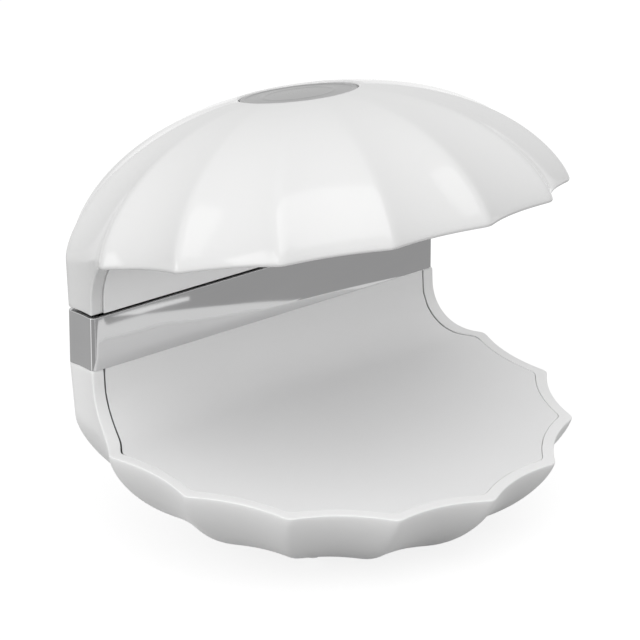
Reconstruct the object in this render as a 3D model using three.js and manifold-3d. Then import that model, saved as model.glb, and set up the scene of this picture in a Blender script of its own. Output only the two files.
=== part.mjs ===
import * as THREE from "three";
import { mergeVertices } from "three/addons/utils/BufferGeometryUtils.js";
import Module from "manifold-3d";

const wasm = await Module();
wasm.setup();

// Millimetres. x runs across the lamp, the hand goes in from -y, z is the height above the table.

// Plan of both shells: an ellipse set with ridges, a concave flute between each two
const halfWidth = 65;
const halfDepth = 58;
const ridgeCount = 16;
const sideRidge = 4;
const sideRidgeTurn = 97.6;
const shoulderTurn = 119.5;
const shoulderShare = 1.012;
const fluteDepth = 2.3;
const shellWall = 2.9;
const fitGap = 0.3;

// Profile of both domes, from the crown to the rim
const profilePower = 2.4;
const profileRoot = 1.51;

// Lower shell, a bowl that stands on its crown
const lowerRimHeight = 28.9;
const lowerTilt = 9.1;
const lowerDomeHeight = 29.1;
const lowerCrownOffset = -3.2;
const lowerShift = -1.15;
const baseHeight = 1.2;
const floorThickness = 2.6;

// Upper shell, a dome that opens towards the hand
const upperRimHeight = 77.3;
const upperTilt = 9.85;
const upperDomeHeight = 31.1;
const upperCrownOffset = 2.5;
const upperShift = 1.15;

// Back wall of the hand space, and the chrome band that holds the shells apart
const backWall = 19.1;
const sweepRadius = 13;
const bandBottom = 46.5;
const bandTop = 59.8;
const bandSeam = 0.5;
const bandWall = 1.8;
const bandCorner = 2.2;

// Smooth linings of the hand space
const liningThickness = 2;
const ledgeThickness = 1.6;
const ledgeWidth = 1.3;

// Round button in the crown of the upper shell
const buttonRadius = 14.4;
const buttonThickness = 1.7;
const buttonCrown = 0.35;
const buttonSink = 1.2;
const buttonClearance = 0.35;
const buttonTravel = 0.7;
const pocketFloor = 2;
const pocketRim = 2.6;
const stemRadius = 2.2;
const stemClearance = 0.4;
const collarRadius = 3.5;
const collarThickness = 0.8;
const stemTail = 0.5;

// Push switch under the button and the small board that carries it
const plungerRadius = 1.6;
const plungerHeight = 1.8;
const plungerStickOut = 1.4;
const plungerClearance = 0.35;
const switchWidth = 6.2;
const switchHeight = 3.6;
const switchHoleDepth = 1.6;
const buttonBoardWidth = 32;
const buttonBoardDepth = 16;
const boardThickness = 1.6;
const buttonPostSpread = 12;

// Lamp board over the ceiling lining, with its lenses in round windows
const lampBoardHalfWidth = halfWidth * 0.677;
const lampBoardHalfDepth = halfDepth * 0.465;
const lampBoardSetForward = halfDepth * 0.207;
const lampBoardLift = 1.4;
const outerLampCount = 8;
const innerLampCount = 4;
const outerLampSpreadX = lampBoardHalfWidth * 0.75;
const outerLampSpreadY = lampBoardHalfDepth * 0.67;
const innerLampSpreadX = lampBoardHalfWidth * 0.3;
const innerLampSpreadY = lampBoardHalfDepth * 0.3;
const lampRadius = 2.5;
const lampLength = 2.6;
const lampBarrelShare = 0.45;
const windowClearance = 0.5;
const lampScrewSpreadX = lampBoardHalfWidth * 0.48;
const liningScrewSpreadX = halfWidth * 0.77;
const liningScrewSideForward = halfDepth * 0.17;
const liningScrewFrontForward = halfDepth * 0.775;

// Posts and screws
const postRadius = 3;
const screwHoleRadius = 1.15;
const screwRadius = 0.8;
const screwHeadRadius = 2.1;
const screwHeadHeight = 1.3;
const screwSlotWidth = 0.6;
const screwSlotDepth = 0.5;
const screwLength = 6;
const screwRecess = 2;
const baseScrewX = halfWidth * 0.385;
const baseScrewFront = halfDepth * -0.38;
const baseScrewBack = halfDepth * 0.17;
const countersinkRadius = 2.8;

// Rubber feet in round seats
const footRadius = 4.2;
const footSeatDepth = 1;
const footSpreadX = halfWidth * 0.215;
const footFront = halfDepth * -0.24;
const footBack = halfDepth * 0.225;
const footEdge = 0.5;

// Upright ties behind the back wall, each screwed to both shells
const tieSpread = 35;
const tieWidth = 10;
const tieDepth = (halfDepth - backWall) * 0.21;
const tieClearance = 2.5;
const tieSetBack = backWall + liningThickness + tieClearance + tieDepth / 2;
const tieBottom = 34.5;
const tieTop = 72;
const tieFlangeWidth = 7;
const tieFlangeThickness = 2.2;
const tieHollowShare = 0.5;

// Driver board behind the hand space and the parts on it
const driverBoardWidth = 40;
const driverBoardClearance = 2.5;
const driverBoardFront = backWall + liningThickness + driverBoardClearance;
const driverBoardSetIn = 11.6;
const driverBoardBack = halfDepth - driverBoardSetIn;
const driverBoardMiddle = (driverBoardFront + driverBoardBack) / 2;
const driverBoardBottom = 36.4;
const driverTongueWidth = 11;
const driverTongueGap = 1.2;
const driverScrewSpread = 15;
const driverScrewEdge = 4.5;
const driverScrewSetBack = driverBoardFront + driverScrewEdge;
const coilWidth = 7;
const coilHeight = 4;
const coilX = -8.6;
const capacitorRadius = 3;
const capacitorHeight = 7.5;
const capacitorX = 3;
const capacitorPitch = 6.6;
const chipWidth = 4;
const chipHeight = 1.4;
const chipX = -2.6;

// Power inlet in the back of the lower shell
const inletHeight = 39.9;
const inletWidth = 8.9;
const inletTall = 3.2;
const inletLength = 7.3;
const inletSheet = 0.35;
const inletTongueWidth = 6.2;
const inletTongueTall = 0.7;
const inletTongueShare = 0.8;
const inletSetIn = 4;
const inletFace = halfDepth - inletSetIn;
const inletClearance = 0.35;
const inletPocketWidth = 13;
const inletPocketTall = 6.6;
const inletPadWidth = 17;
const inletPadTall = 9;
const inletPadDepth = 3;

// Flat leads between the boards
const leadWidth = 3.6;
const leadThickness = 1;
const leadX = -17;
const leadRise = 20;

// Fineness of the curved faces
const fluteSteps = 5;
const domeRings = 9;
const innerFluteSteps = 4;
const innerRings = 6;
const sweepSteps = 8;
const roundSteps = 44;
const smallRoundSteps = 14;
const screwSteps = 10;
const lampSteps = 12;
const windowSteps = 14;
const lampDomeSteps = 3;
const leadSteps = 24;
const cornerSteps = 4;
const weldDistance = 1e-4;
const overCut = 0.05;
const farAway = 200;

const toRadians = (degrees) => THREE.MathUtils.degToRad(degrees);

const lower = {
  side: -1,
  rim: lowerRimHeight,
  tilt: toRadians(lowerTilt),
  height: lowerDomeHeight,
  crown: lowerCrownOffset,
  shift: lowerShift,
  edge: bandBottom,
};
const upper = {
  side: 1,
  rim: upperRimHeight,
  tilt: toRadians(upperTilt),
  height: upperDomeHeight,
  crown: upperCrownOffset,
  shift: upperShift,
  edge: bandTop + bandSeam,
};

const paint = (color, roughness, metalness) => new THREE.MeshStandardMaterial({ color, roughness, metalness });
const whiteGloss = paint(0xf4f4f2, 0.18, 0);
const greySatin = paint(0xd6d6d6, 0.45, 0);
const chrome = paint(0xc9cacc, 0.08, 1);
const steel = paint(0x9a9c9e, 0.3, 1);
const blackPlastic = paint(0x1c1c1e, 0.5, 0);
const boardWhite = paint(0xe9ece8, 0.5, 0);
const boardGreen = paint(0x1f5a3a, 0.5, 0);
const clearLens = paint(0xe4e0f2, 0.1, 0);
const rubberGrey = paint(0x55575a, 0.85, 0);
const coilDark = paint(0x3a3b3e, 0.6, 0);
const leadRed = paint(0xa8322c, 0.5, 0);

const lamp = new THREE.Group();
lamp.name = "nail_lamp";

function toSolid(geometry) {
  const bare = geometry.index ? geometry.toNonIndexed() : geometry.clone();
  bare.deleteAttribute("normal");
  bare.deleteAttribute("uv");
  const welded = mergeVertices(bare, weldDistance);
  return new wasm.Manifold(
    new wasm.Mesh({
      numProp: 3,
      vertProperties: welded.attributes.position.array,
      triVerts: new Uint32Array(welded.index.array),
    }),
  );
}

function toGeometry(solid) {
  const mesh = solid.getMesh();
  const geometry = new THREE.BufferGeometry();
  geometry.setAttribute("position", new THREE.BufferAttribute(new Float32Array(mesh.vertProperties), 3));
  geometry.setIndex(new THREE.BufferAttribute(new Uint32Array(mesh.triVerts), 1));
  const faceted = geometry.toNonIndexed();
  faceted.computeVertexNormals();
  return faceted;
}

function place(name, shape, material, group = lamp) {
  const geometry = shape instanceof THREE.BufferGeometry ? shape : toGeometry(shape);
  const mesh = new THREE.Mesh(geometry, material);
  mesh.name = name;
  group.add(mesh);
  return mesh;
}

// An upright round bar between two heights
function bar(radius, bottom, top, x, y, steps = smallRoundSteps) {
  const geometry = new THREE.CylinderGeometry(radius, radius, top - bottom, steps);
  geometry.rotateX(Math.PI / 2);
  geometry.translate(x, y, (top + bottom) / 2);
  return toSolid(geometry);
}

// A square block between two corners
function block(x0, x1, y0, y1, z0, z1) {
  const geometry = new THREE.BoxGeometry(x1 - x0, y1 - y0, z1 - z0);
  geometry.translate((x0 + x1) / 2, (y0 + y1) / 2, (z0 + z1) / 2);
  return toSolid(geometry);
}

// An outline in the plan, raised from one height to another
function raised(points, bottom, top) {
  const shape = new THREE.Shape(points);
  const geometry = new THREE.ExtrudeGeometry(shape, { depth: top - bottom, bevelEnabled: false });
  geometry.translate(0, 0, bottom);
  return toSolid(geometry);
}

// A side profile, its points given as depth and height, drawn out across the lamp
function acrossLamp(points) {
  const shape = new THREE.Shape(points);
  const geometry = new THREE.ExtrudeGeometry(shape, { depth: 2 * farAway, bevelEnabled: false });
  const turn = new THREE.Matrix4().makeBasis(
    new THREE.Vector3(0, 1, 0),
    new THREE.Vector3(0, 0, 1),
    new THREE.Vector3(1, 0, 0),
  );
  geometry.applyMatrix4(turn);
  geometry.translate(-farAway, 0, 0);
  return toSolid(geometry);
}

// A profile, its points given as height and reach to the back, turned into a slot along y
function alongDepth(width, tall, cornerRadius, from, to, height) {
  const shape = new THREE.Shape();
  const x = width / 2 - cornerRadius;
  const z = tall / 2 - cornerRadius;
  shape.absarc(x, z, cornerRadius, 0, Math.PI / 2);
  shape.absarc(-x, z, cornerRadius, Math.PI / 2, Math.PI);
  shape.absarc(-x, -z, cornerRadius, Math.PI, (3 * Math.PI) / 2);
  shape.absarc(x, -z, cornerRadius, (3 * Math.PI) / 2, 2 * Math.PI);
  const options = { depth: to - from, bevelEnabled: false, curveSegments: cornerSteps };
  const geometry = new THREE.ExtrudeGeometry(shape, options);
  geometry.rotateX(Math.PI / 2);
  geometry.translate(0, to, height);
  return toSolid(geometry);
}

// Turn of a ridge from the front, counted round the plan
function ridgeTurn(index) {
  if (index > ridgeCount / 2) {
    return 2 * Math.PI - ridgeTurn(ridgeCount - index);
  }
  if (index <= sideRidge) {
    return (toRadians(sideRidgeTurn) / sideRidge) * index;
  }
  const shoulder = toRadians(shoulderTurn);
  const past = index - sideRidge - 1;
  return shoulder + ((Math.PI - shoulder) / (ridgeCount / 2 - sideRidge - 1)) * past;
}

function ridgePoint(index) {
  const turn = ridgeTurn(index);
  const isShoulder = Math.min(index, ridgeCount - index) === sideRidge + 1;
  const point = new THREE.Vector2(halfWidth * Math.sin(turn), -halfDepth * Math.cos(turn));
  return point.multiplyScalar(isShoulder ? shoulderShare : 1);
}

// Outline moved inwards by a margin, each corner along its own bisector
function insetOutline(points, margin) {
  const inward = points.map((point, i) => {
    const next = points[(i + 1) % points.length];
    const along = next.clone().sub(point).normalize();
    return new THREE.Vector2(-along.y, along.x);
  });
  return points.map((point, i) => {
    const before = inward[(i + points.length - 1) % points.length];
    const after = inward[i];
    const bisector = before.clone().add(after);
    return point.clone().addScaledVector(bisector, margin / (1 + before.dot(after)));
  });
}

function flutedOutline(margin, steps = fluteSteps) {
  const points = [];
  for (let ridge = 0; ridge < ridgeCount; ridge++) {
    const start = ridgePoint(ridge);
    const end = ridgePoint(ridge + 1);
    const along = end.clone().sub(start).normalize();
    const inward = new THREE.Vector2(-along.y, along.x);
    for (let step = 0; step < steps; step++) {
      const share = step / steps;
      const point = start.clone().lerp(end, share);
      points.push(point.addScaledVector(inward, 4 * share * (1 - share) * fluteDepth));
    }
  }
  return insetOutline(points, margin);
}

// Height of the dome over its rim at a share of the way out from the crown
const domeProfile = (share) => Math.pow(1 - Math.pow(share, profilePower), 1 / profileRoot);

// A point of a shell's own frame in the frame of the lamp
function fromShell(shell, x, y, rise) {
  const cos = Math.cos(shell.tilt);
  const sin = Math.sin(shell.tilt);
  return [x, shell.shift + y * cos + rise * sin, shell.rim + shell.side * (rise * cos - y * sin)];
}

// Fluted dome with its skirt, filled and closed at the edge of the band
function shellSolid(shell, margin, edge) {
  const rings = margin > 0 ? innerRings : domeRings;
  const outline = flutedOutline(margin, margin > 0 ? innerFluteSteps : fluteSteps);
  const count = outline.length;
  const height = shell.height - margin;
  const positions = [...fromShell(shell, 0, shell.crown, height)];
  for (let ring = 1; ring <= rings; ring++) {
    const share = ring === rings ? 1 : Math.sin(((ring / rings) * Math.PI) / 2);
    const rise = ring === rings ? 0 : height * domeProfile(share);
    for (const point of outline) {
      const y = shell.crown + share * (point.y - shell.crown);
      positions.push(...fromShell(shell, share * point.x, y, rise));
    }
  }
  for (const point of outline) {
    positions.push(point.x, point.y, edge);
  }
  positions.push(0, 0, edge);
  const last = positions.length / 3 - 1;
  const faces = [];
  const face = (a, b, c) => (shell.side > 0 ? faces.push(a, b, c) : faces.push(a, c, b));
  for (let i = 0; i < count; i++) {
    const next = (i + 1) % count;
    face(0, 1 + i, 1 + next);
    face(last, last - count + next, last - count + i);
    for (let ring = 0; ring < rings; ring++) {
      const from = 1 + ring * count;
      const to = from + count;
      face(from + i, to + i, to + next);
      face(from + i, to + next, from + next);
    }
  }
  const geometry = new THREE.BufferGeometry();
  geometry.setAttribute("position", new THREE.BufferAttribute(new Float32Array(positions), 3));
  geometry.setIndex(faces);
  return toSolid(geometry);
}

// Side curve of the hand space over one shell, moved out of the space by a margin
function sweepCurve(shell, margin, edge) {
  const slope = shell.side * Math.tan(shell.tilt);
  const rimAt = (y) => shell.rim - slope * (y - shell.shift);
  const centreY = backWall - sweepRadius;
  const centreZ = rimAt(centreY) - (shell.side * sweepRadius) / Math.cos(shell.tilt);
  const radius = sweepRadius + margin;
  const points = [new THREE.Vector2(backWall + margin, edge)];
  for (let step = 0; step <= sweepSteps; step++) {
    const turn = (step / sweepSteps) * (Math.PI / 2 - shell.tilt);
    const z = centreZ + shell.side * radius * Math.sin(turn);
    points.push(new THREE.Vector2(centreY + radius * Math.cos(turn), z));
  }
  points.push(new THREE.Vector2(-farAway, rimAt(-farAway) + (shell.side * margin) / Math.cos(shell.tilt)));
  return points;
}

function handSpace(margin = 0) {
  const points = [...sweepCurve(upper, margin, upper.edge), ...sweepCurve(lower, margin, lower.edge).reverse()];
  return acrossLamp(points);
}

function sweepLayer(shell, from, to, edge) {
  return acrossLamp([...sweepCurve(shell, from, edge), ...sweepCurve(shell, to, edge).reverse()]);
}

// Smooth lining of the hand space, held inside the shell's wall
function lining(shell) {
  const edge = shell.side > 0 ? shell.edge : shell.edge - fitGap;
  const inside = shellSolid(shell, shellWall + fitGap, shell.edge);
  return sweepLayer(shell, 0, liningThickness, edge).intersect(inside);
}

// Narrow ledge round the inside of a shell that the lining rests on
function ledge(shell) {
  const near = liningThickness + fitGap;
  const layer = sweepLayer(shell, near, near + ledgeThickness, shell.edge);
  const ring = shellSolid(shell, shellWall / 2, shell.edge).subtract(
    shellSolid(shell, shellWall + ledgeWidth, shell.edge - shell.side * overCut),
  );
  return layer.intersect(ring);
}

// Round post in a shell's own frame, turned into the frame of the lamp
function tiltedBar(shell, radius, from, to, x, y, steps = smallRoundSteps) {
  const geometry = new THREE.CylinderGeometry(radius, radius, to - from, steps);
  geometry.rotateX(Math.PI / 2);
  geometry.translate(x, y, (from + to) / 2);
  geometry.rotateX(-shell.tilt);
  geometry.translate(0, shell.shift, shell.rim);
  return toSolid(geometry);
}

const buttonTop = upperDomeHeight - buttonSink;
const capBottom = buttonTop - buttonThickness;
const pocketBottom = capBottom - buttonTravel - fitGap;
const pocketUnderside = pocketBottom - pocketFloor;
const collarTop = pocketUnderside - fitGap;
const stemBottom = collarTop - collarThickness - stemTail;
const plungerTop = stemBottom - fitGap;
const switchTop = plungerTop - plungerStickOut;
const buttonBoardTop = switchTop - switchHeight - fitGap;
const buttonBoardBottom = buttonBoardTop - boardThickness;

const lampBoardBottom = liningThickness + lampBoardLift;
const lampBoardTop = lampBoardBottom + boardThickness;

const liningScrews = [
  { x: -liningScrewSpreadX, y: -liningScrewSideForward },
  { x: liningScrewSpreadX, y: -liningScrewSideForward },
  { x: 0, y: -liningScrewFrontForward },
];
const lampScrews = [-lampScrewSpreadX, lampScrewSpreadX].map((x) => ({ x, y: -lampBoardSetForward }));
const buttonScrews = [-buttonPostSpread, buttonPostSpread].map((x) => ({ x, y: upperCrownOffset }));
const baseScrews = [baseScrewFront, baseScrewBack].flatMap((y) => [-baseScrewX, baseScrewX].map((x) => ({ x, y })));
const feet = [footFront, footBack].flatMap((y) => [-footSpreadX, footSpreadX].map((x) => ({ x, y })));
const driverScrews = [-driverScrewSpread, driverScrewSpread].map((x) => ({ x, y: driverScrewSetBack }));
const tieSides = [
  { name: "left", sign: -1 },
  { name: "right", sign: 1 },
];
const flangeScrewX = tieSpread - tieWidth / 2 - tieFlangeWidth / 2;

// Positions of the lamps on the ceiling, in two rings
function lampSpots() {
  const ring = (count, spreadX, spreadY, start) =>
    Array.from({ length: count }, (_, i) => {
      const turn = start + (2 * Math.PI * i) / count;
      return { x: spreadX * Math.cos(turn), y: spreadY * Math.sin(turn) - lampBoardSetForward };
    });
  return [
    ...ring(outerLampCount, outerLampSpreadX, outerLampSpreadY, Math.PI / outerLampCount),
    ...ring(innerLampCount, innerLampSpreadX, innerLampSpreadY, 0),
  ];
}

// Block that a tie's flange is screwed to, grown from the shell's wall
function tieSeat(shell, sign, from, to) {
  const inner = tieSpread - tieWidth / 2 - tieFlangeWidth;
  const outer = tieSpread + tieWidth / 2;
  const xs = [sign * inner, sign * outer].sort((a, b) => a - b);
  return block(...xs, tieSetBack - tieDepth / 2, tieSetBack + tieDepth / 2, from, to);
}

function lowerShell() {
  const outer = shellSolid(lower, 0, lower.edge);
  const aboveBase = block(-farAway, farAway, -farAway, farAway, baseHeight, farAway);
  const aboveFloor = aboveBase.translate([0, 0, floorThickness]);
  const cavity = shellSolid(lower, shellWall, lower.edge + overCut).intersect(aboveFloor);
  let shell = outer.subtract(cavity);
  shell = shell.add(ledge(lower));
  for (const { x, y } of driverScrews) {
    const post = bar(postRadius, baseHeight, driverBoardBottom - fitGap, x, y).intersect(outer);
    shell = shell.add(post);
  }
  for (const { sign } of tieSides) {
    shell = shell.add(tieSeat(lower, sign, baseHeight, tieBottom - fitGap).intersect(outer));
  }
  const padLow = inletHeight - inletPadTall / 2;
  const padHigh = inletHeight + inletPadTall / 2;
  const padHalf = inletPadWidth / 2;
  const pad = block(-padHalf, padHalf, inletFace - inletPadDepth, farAway, padLow, padHigh);
  shell = shell.add(pad.intersect(outer));
  shell = shell.subtract(handSpace()).intersect(aboveBase);
  for (const { x, y } of driverScrews) {
    const top = driverBoardBottom;
    shell = shell.subtract(bar(screwHoleRadius, top - screwLength, top, x, y));
  }
  for (const { sign } of tieSides) {
    const top = tieBottom;
    shell = shell.subtract(bar(screwHoleRadius, top - screwLength, top, sign * flangeScrewX, tieSetBack));
  }
  for (const { x, y } of baseScrews) {
    shell = shell.subtract(bar(countersinkRadius, -farAway, screwSeat(x, y), x, y));
    shell = shell.subtract(bar(screwHoleRadius, -farAway, farAway / 2, x, y).intersect(belowLining()));
  }
  for (const { x, y } of feet) {
    shell = shell.subtract(bar(footRadius + fitGap, 0, baseHeight + footSeatDepth, x, y, smallRoundSteps * 2));
  }
  const slotWidth = inletWidth + 2 * inletClearance;
  const slotTall = inletTall + 2 * inletClearance;
  const slotFrom = inletFace - inletLength;
  const slot = alongDepth(slotWidth, slotTall, slotTall / 2 - overCut, slotFrom, farAway, inletHeight);
  const pocketRadius = inletPocketTall / 2 - overCut;
  const pocket = alongDepth(inletPocketWidth, inletPocketTall, pocketRadius, inletFace, farAway, inletHeight);
  return shell.subtract(slot).subtract(pocket);
}

const belowLining = (lap = 0) => sweepLayer(lower, liningThickness - lap, farAway, lower.edge);

// Height of the shell's outside under a base screw, raised by the screw's recess
function screwSeat(x, y) {
  const column = bar(countersinkRadius, -farAway, farAway, x, y);
  const outer = shellSolid(lower, 0, lower.edge).intersect(column);
  const low = Math.max(outer.boundingBox().min[2], baseHeight);
  return low + screwRecess;
}

function lowerTray() {
  let tray = lining(lower);
  for (const { x, y } of baseScrews) {
    const bottom = screwSeat(x, y) + floorThickness;
    const inside = shellSolid(lower, shellWall + fitGap, lower.edge);
    const post = bar(postRadius, bottom, farAway / 2, x, y).intersect(belowLining(overCut)).intersect(inside);
    tray = tray.add(post).subtract(bar(screwHoleRadius, 0, bottom + screwLength, x, y));
  }
  return tray;
}

function upperShell() {
  const outer = shellSolid(upper, 0, upper.edge);
  const cavity = shellSolid(upper, shellWall, upper.edge - overCut);
  let shell = outer.subtract(cavity);
  shell = shell.add(ledge(upper));
  const bossRadius = buttonRadius + buttonClearance + pocketRim;
  const boss = tiltedBar(upper, bossRadius, pocketUnderside, farAway, 0, upperCrownOffset, roundSteps);
  shell = shell.add(boss.intersect(outer));
  for (const { x, y } of liningScrews) {
    const post = tiltedBar(upper, postRadius, liningThickness + fitGap, farAway, x, y);
    shell = shell.add(post.intersect(outer));
  }
  for (const { x, y } of buttonScrews) {
    const post = tiltedBar(upper, postRadius, buttonBoardTop + fitGap, pocketBottom, x, y);
    shell = shell.add(post);
  }
  for (const { sign } of tieSides) {
    shell = shell.add(tieSeat(upper, sign, tieTop + fitGap, farAway).intersect(outer));
  }
  shell = shell.subtract(handSpace());
  for (const { x, y } of liningScrews) {
    shell = shell.subtract(tiltedBar(upper, screwHoleRadius, 0, screwLength + liningThickness, x, y));
  }
  for (const { x, y } of buttonScrews) {
    shell = shell.subtract(tiltedBar(upper, screwHoleRadius, 0, pocketUnderside, x, y));
  }
  for (const { sign } of tieSides) {
    const bottom = tieTop;
    shell = shell.subtract(bar(screwHoleRadius, bottom, bottom + screwLength, sign * flangeScrewX, tieSetBack));
  }
  const y = upperCrownOffset;
  const pocket = tiltedBar(upper, buttonRadius + buttonClearance, pocketBottom, farAway, 0, y, roundSteps);
  const stemHole = tiltedBar(upper, stemRadius + stemClearance, 0, farAway, 0, y);
  return shell.subtract(pocket).subtract(stemHole);
}

function upperLiner() {
  let liner = lining(upper);
  for (const { x, y } of lampScrews) {
    liner = liner.add(tiltedBar(upper, postRadius, liningThickness / 2, lampBoardBottom - fitGap, x, y));
  }
  for (const { x, y } of lampSpots()) {
    liner = liner.subtract(tiltedBar(upper, lampRadius + windowClearance, -farAway, farAway, x, y, windowSteps));
  }
  for (const { x, y } of lampScrews) {
    const hole = tiltedBar(upper, screwHoleRadius, liningThickness / 2, farAway, x, y);
    liner = liner.subtract(hole);
  }
  for (const { x, y } of liningScrews) {
    const hole = tiltedBar(upper, screwHoleRadius, -farAway, farAway, x, y);
    liner = liner.subtract(hole);
  }
  return liner;
}

// Plan of the chrome band: the fluted outline behind the back wall, with rounded front corners
function bandOutline(margin) {
  const outline = flutedOutline(margin);
  const front = backWall + margin;
  const behind = outline.filter((point) => point.y > front + bandCorner);
  const corner = (near) => {
    const at = outline.indexOf(near);
    const neighbours = [outline[at - 1], outline[at + 1]];
    const next = neighbours.find((point) => !behind.includes(point));
    const share = (near.y - front) / (near.y - next.y);
    return near.clone().lerp(next, share);
  };
  const right = corner(behind[0]);
  const left = corner(behind[behind.length - 1]);
  const radius = bandCorner - margin / 2;
  const shape = new THREE.Shape();
  const onWall = (point, near) => point.clone().lerp(near, radius / point.distanceTo(near));
  const rightWall = onWall(right, behind[0]);
  const leftWall = onWall(left, behind[behind.length - 1]);
  shape.moveTo(rightWall.x, rightWall.y);
  behind.forEach((point) => shape.lineTo(point.x, point.y));
  shape.lineTo(leftWall.x, leftWall.y);
  shape.quadraticCurveTo(left.x, left.y, left.x + radius, front);
  shape.lineTo(right.x - radius, front);
  shape.quadraticCurveTo(right.x, right.y, rightWall.x, rightWall.y);
  return shape.getPoints(cornerSteps).slice(0, -1);
}

function backBand() {
  const outer = raised(bandOutline(0), bandBottom + fitGap, bandTop);
  const inner = raised(bandOutline(bandWall), bandBottom, bandTop + bandSeam);
  return outer.subtract(inner);
}

// Cap, stem and collar of the button, turned about its own axis
function timerButton() {
  const points = [
    new THREE.Vector2(0, stemBottom),
    new THREE.Vector2(stemRadius, stemBottom),
    new THREE.Vector2(stemRadius, collarTop - collarThickness),
    new THREE.Vector2(collarRadius, collarTop - collarThickness),
    new THREE.Vector2(collarRadius, collarTop),
    new THREE.Vector2(stemRadius, collarTop),
    new THREE.Vector2(stemRadius, capBottom),
    new THREE.Vector2(buttonRadius, capBottom),
    new THREE.Vector2(buttonRadius, buttonTop - buttonCrown),
    new THREE.Vector2(buttonRadius - buttonCrown, buttonTop),
    new THREE.Vector2(0, buttonTop + buttonCrown),
  ];
  const geometry = new THREE.LatheGeometry(points, roundSteps);
  geometry.rotateX(Math.PI / 2);
  return geometry;
}

function tactSwitch() {
  const half = switchWidth / 2;
  const body = block(-half, half, -half, half, switchTop - switchHeight, switchTop);
  const hole = bar(plungerRadius + plungerClearance, switchTop - switchHoleDepth, switchTop + overCut, 0, 0);
  return body.subtract(hole);
}

// Flat oval board of the lamps
function lampBoard() {
  const ellipse = new THREE.EllipseCurve(0, 0, lampBoardHalfWidth, lampBoardHalfDepth);
  const board = raised(ellipse.getPoints(roundSteps).slice(0, -1), lampBoardBottom, lampBoardTop);
  let drilled = board.translate([0, -lampBoardSetForward, 0]);
  for (const { x, y } of lampScrews) {
    drilled = drilled.subtract(bar(screwHoleRadius, 0, farAway, x, y));
  }
  return drilled;
}

// Lens of one lamp: a short barrel with a round end that points at the hand
function lampLens() {
  const barrel = lampLength * lampBarrelShare;
  const points = [new THREE.Vector2(0, 0), new THREE.Vector2(lampRadius, 0)];
  for (let step = 0; step <= lampDomeSteps; step++) {
    const turn = ((step / lampDomeSteps) * Math.PI) / 2;
    const reach = step === lampDomeSteps ? 0 : lampRadius * Math.cos(turn);
    points.push(new THREE.Vector2(reach, barrel + (lampLength - barrel) * Math.sin(turn)));
  }
  const geometry = new THREE.LatheGeometry(points, lampSteps);
  geometry.rotateX(-Math.PI / 2);
  return geometry;
}

// Round-headed screw with a slot, its head above zero and its shank below
function screw(length) {
  const points = [
    new THREE.Vector2(0, -length),
    new THREE.Vector2(screwRadius, screwRadius - length),
    new THREE.Vector2(screwRadius, 0),
    new THREE.Vector2(screwHeadRadius, 0),
    new THREE.Vector2(screwHeadRadius, screwHeadHeight / 2),
    new THREE.Vector2(screwHeadRadius / 2, screwHeadHeight),
    new THREE.Vector2(0, screwHeadHeight),
  ];
  const geometry = new THREE.LatheGeometry(points, screwSteps);
  geometry.rotateX(Math.PI / 2);
  const half = screwSlotWidth / 2;
  const reach = 2 * screwHeadRadius;
  const slot = block(-reach, reach, -half, half, screwHeadHeight - screwSlotDepth, screwHeadHeight + overCut);
  return toSolid(geometry).subtract(slot);
}

// A screw at a place; facing is 1 with the head up and -1 with the head down
function placeScrew(name, x, y, z, facing, group = lamp) {
  const mesh = place(name, screw(screwLength - fitGap), steel, group);
  mesh.position.set(x, y, z);
  mesh.rotation.x = facing > 0 ? 0 : Math.PI;
}

// Rubber foot with an eased lower edge
function rubberFoot() {
  const top = baseHeight + footSeatDepth - fitGap;
  const points = [
    new THREE.Vector2(0, 0),
    new THREE.Vector2(footRadius - footEdge, 0),
    new THREE.Vector2(footRadius, footEdge),
    new THREE.Vector2(footRadius, top),
    new THREE.Vector2(0, top),
  ];
  const geometry = new THREE.LatheGeometry(points, smallRoundSteps * 2);
  geometry.rotateX(Math.PI / 2);
  return geometry;
}

// Hollow upright with a flange at each end towards the middle of the lamp
function tiePost(sign) {
  const near = tieSpread - tieWidth / 2;
  const far = tieSpread + tieWidth / 2;
  const front = tieSetBack - tieDepth / 2;
  const back = tieSetBack + tieDepth / 2;
  let post = block(near, far, front, back, tieBottom, tieTop);
  for (const bottom of [tieBottom, tieTop - tieFlangeThickness]) {
    const flange = block(near - tieFlangeWidth, near + overCut, front, back, bottom, bottom + tieFlangeThickness);
    post = post.add(flange);
  }
  const hollowX = (tieWidth * tieHollowShare) / 2;
  const hollowY = (tieDepth * tieHollowShare) / 2;
  const hollow = block(
    tieSpread - hollowX,
    tieSpread + hollowX,
    tieSetBack - hollowY,
    tieSetBack + hollowY,
    tieBottom - overCut,
    tieTop + overCut,
  );
  post = post.subtract(hollow).subtract(bar(screwHoleRadius, 0, farAway, flangeScrewX, tieSetBack));
  return sign > 0 ? post : post.rotate([0, 0, 180]).translate([0, 2 * tieSetBack, 0]);
}

const driverTop = driverBoardBottom + boardThickness;

function driverBoard() {
  const half = driverBoardWidth / 2;
  const tongueHalf = driverTongueWidth / 2;
  const tongueBack = inletFace - inletPadDepth - driverTongueGap;
  const tongue = block(-tongueHalf, tongueHalf, driverBoardMiddle, tongueBack, driverBoardBottom, driverTop);
  let board = block(-half, half, driverBoardFront, driverBoardBack, driverBoardBottom, driverTop).add(tongue);
  for (const { x, y } of driverScrews) {
    board = board.subtract(bar(screwHoleRadius, 0, farAway, x, y));
  }
  return board;
}

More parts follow.
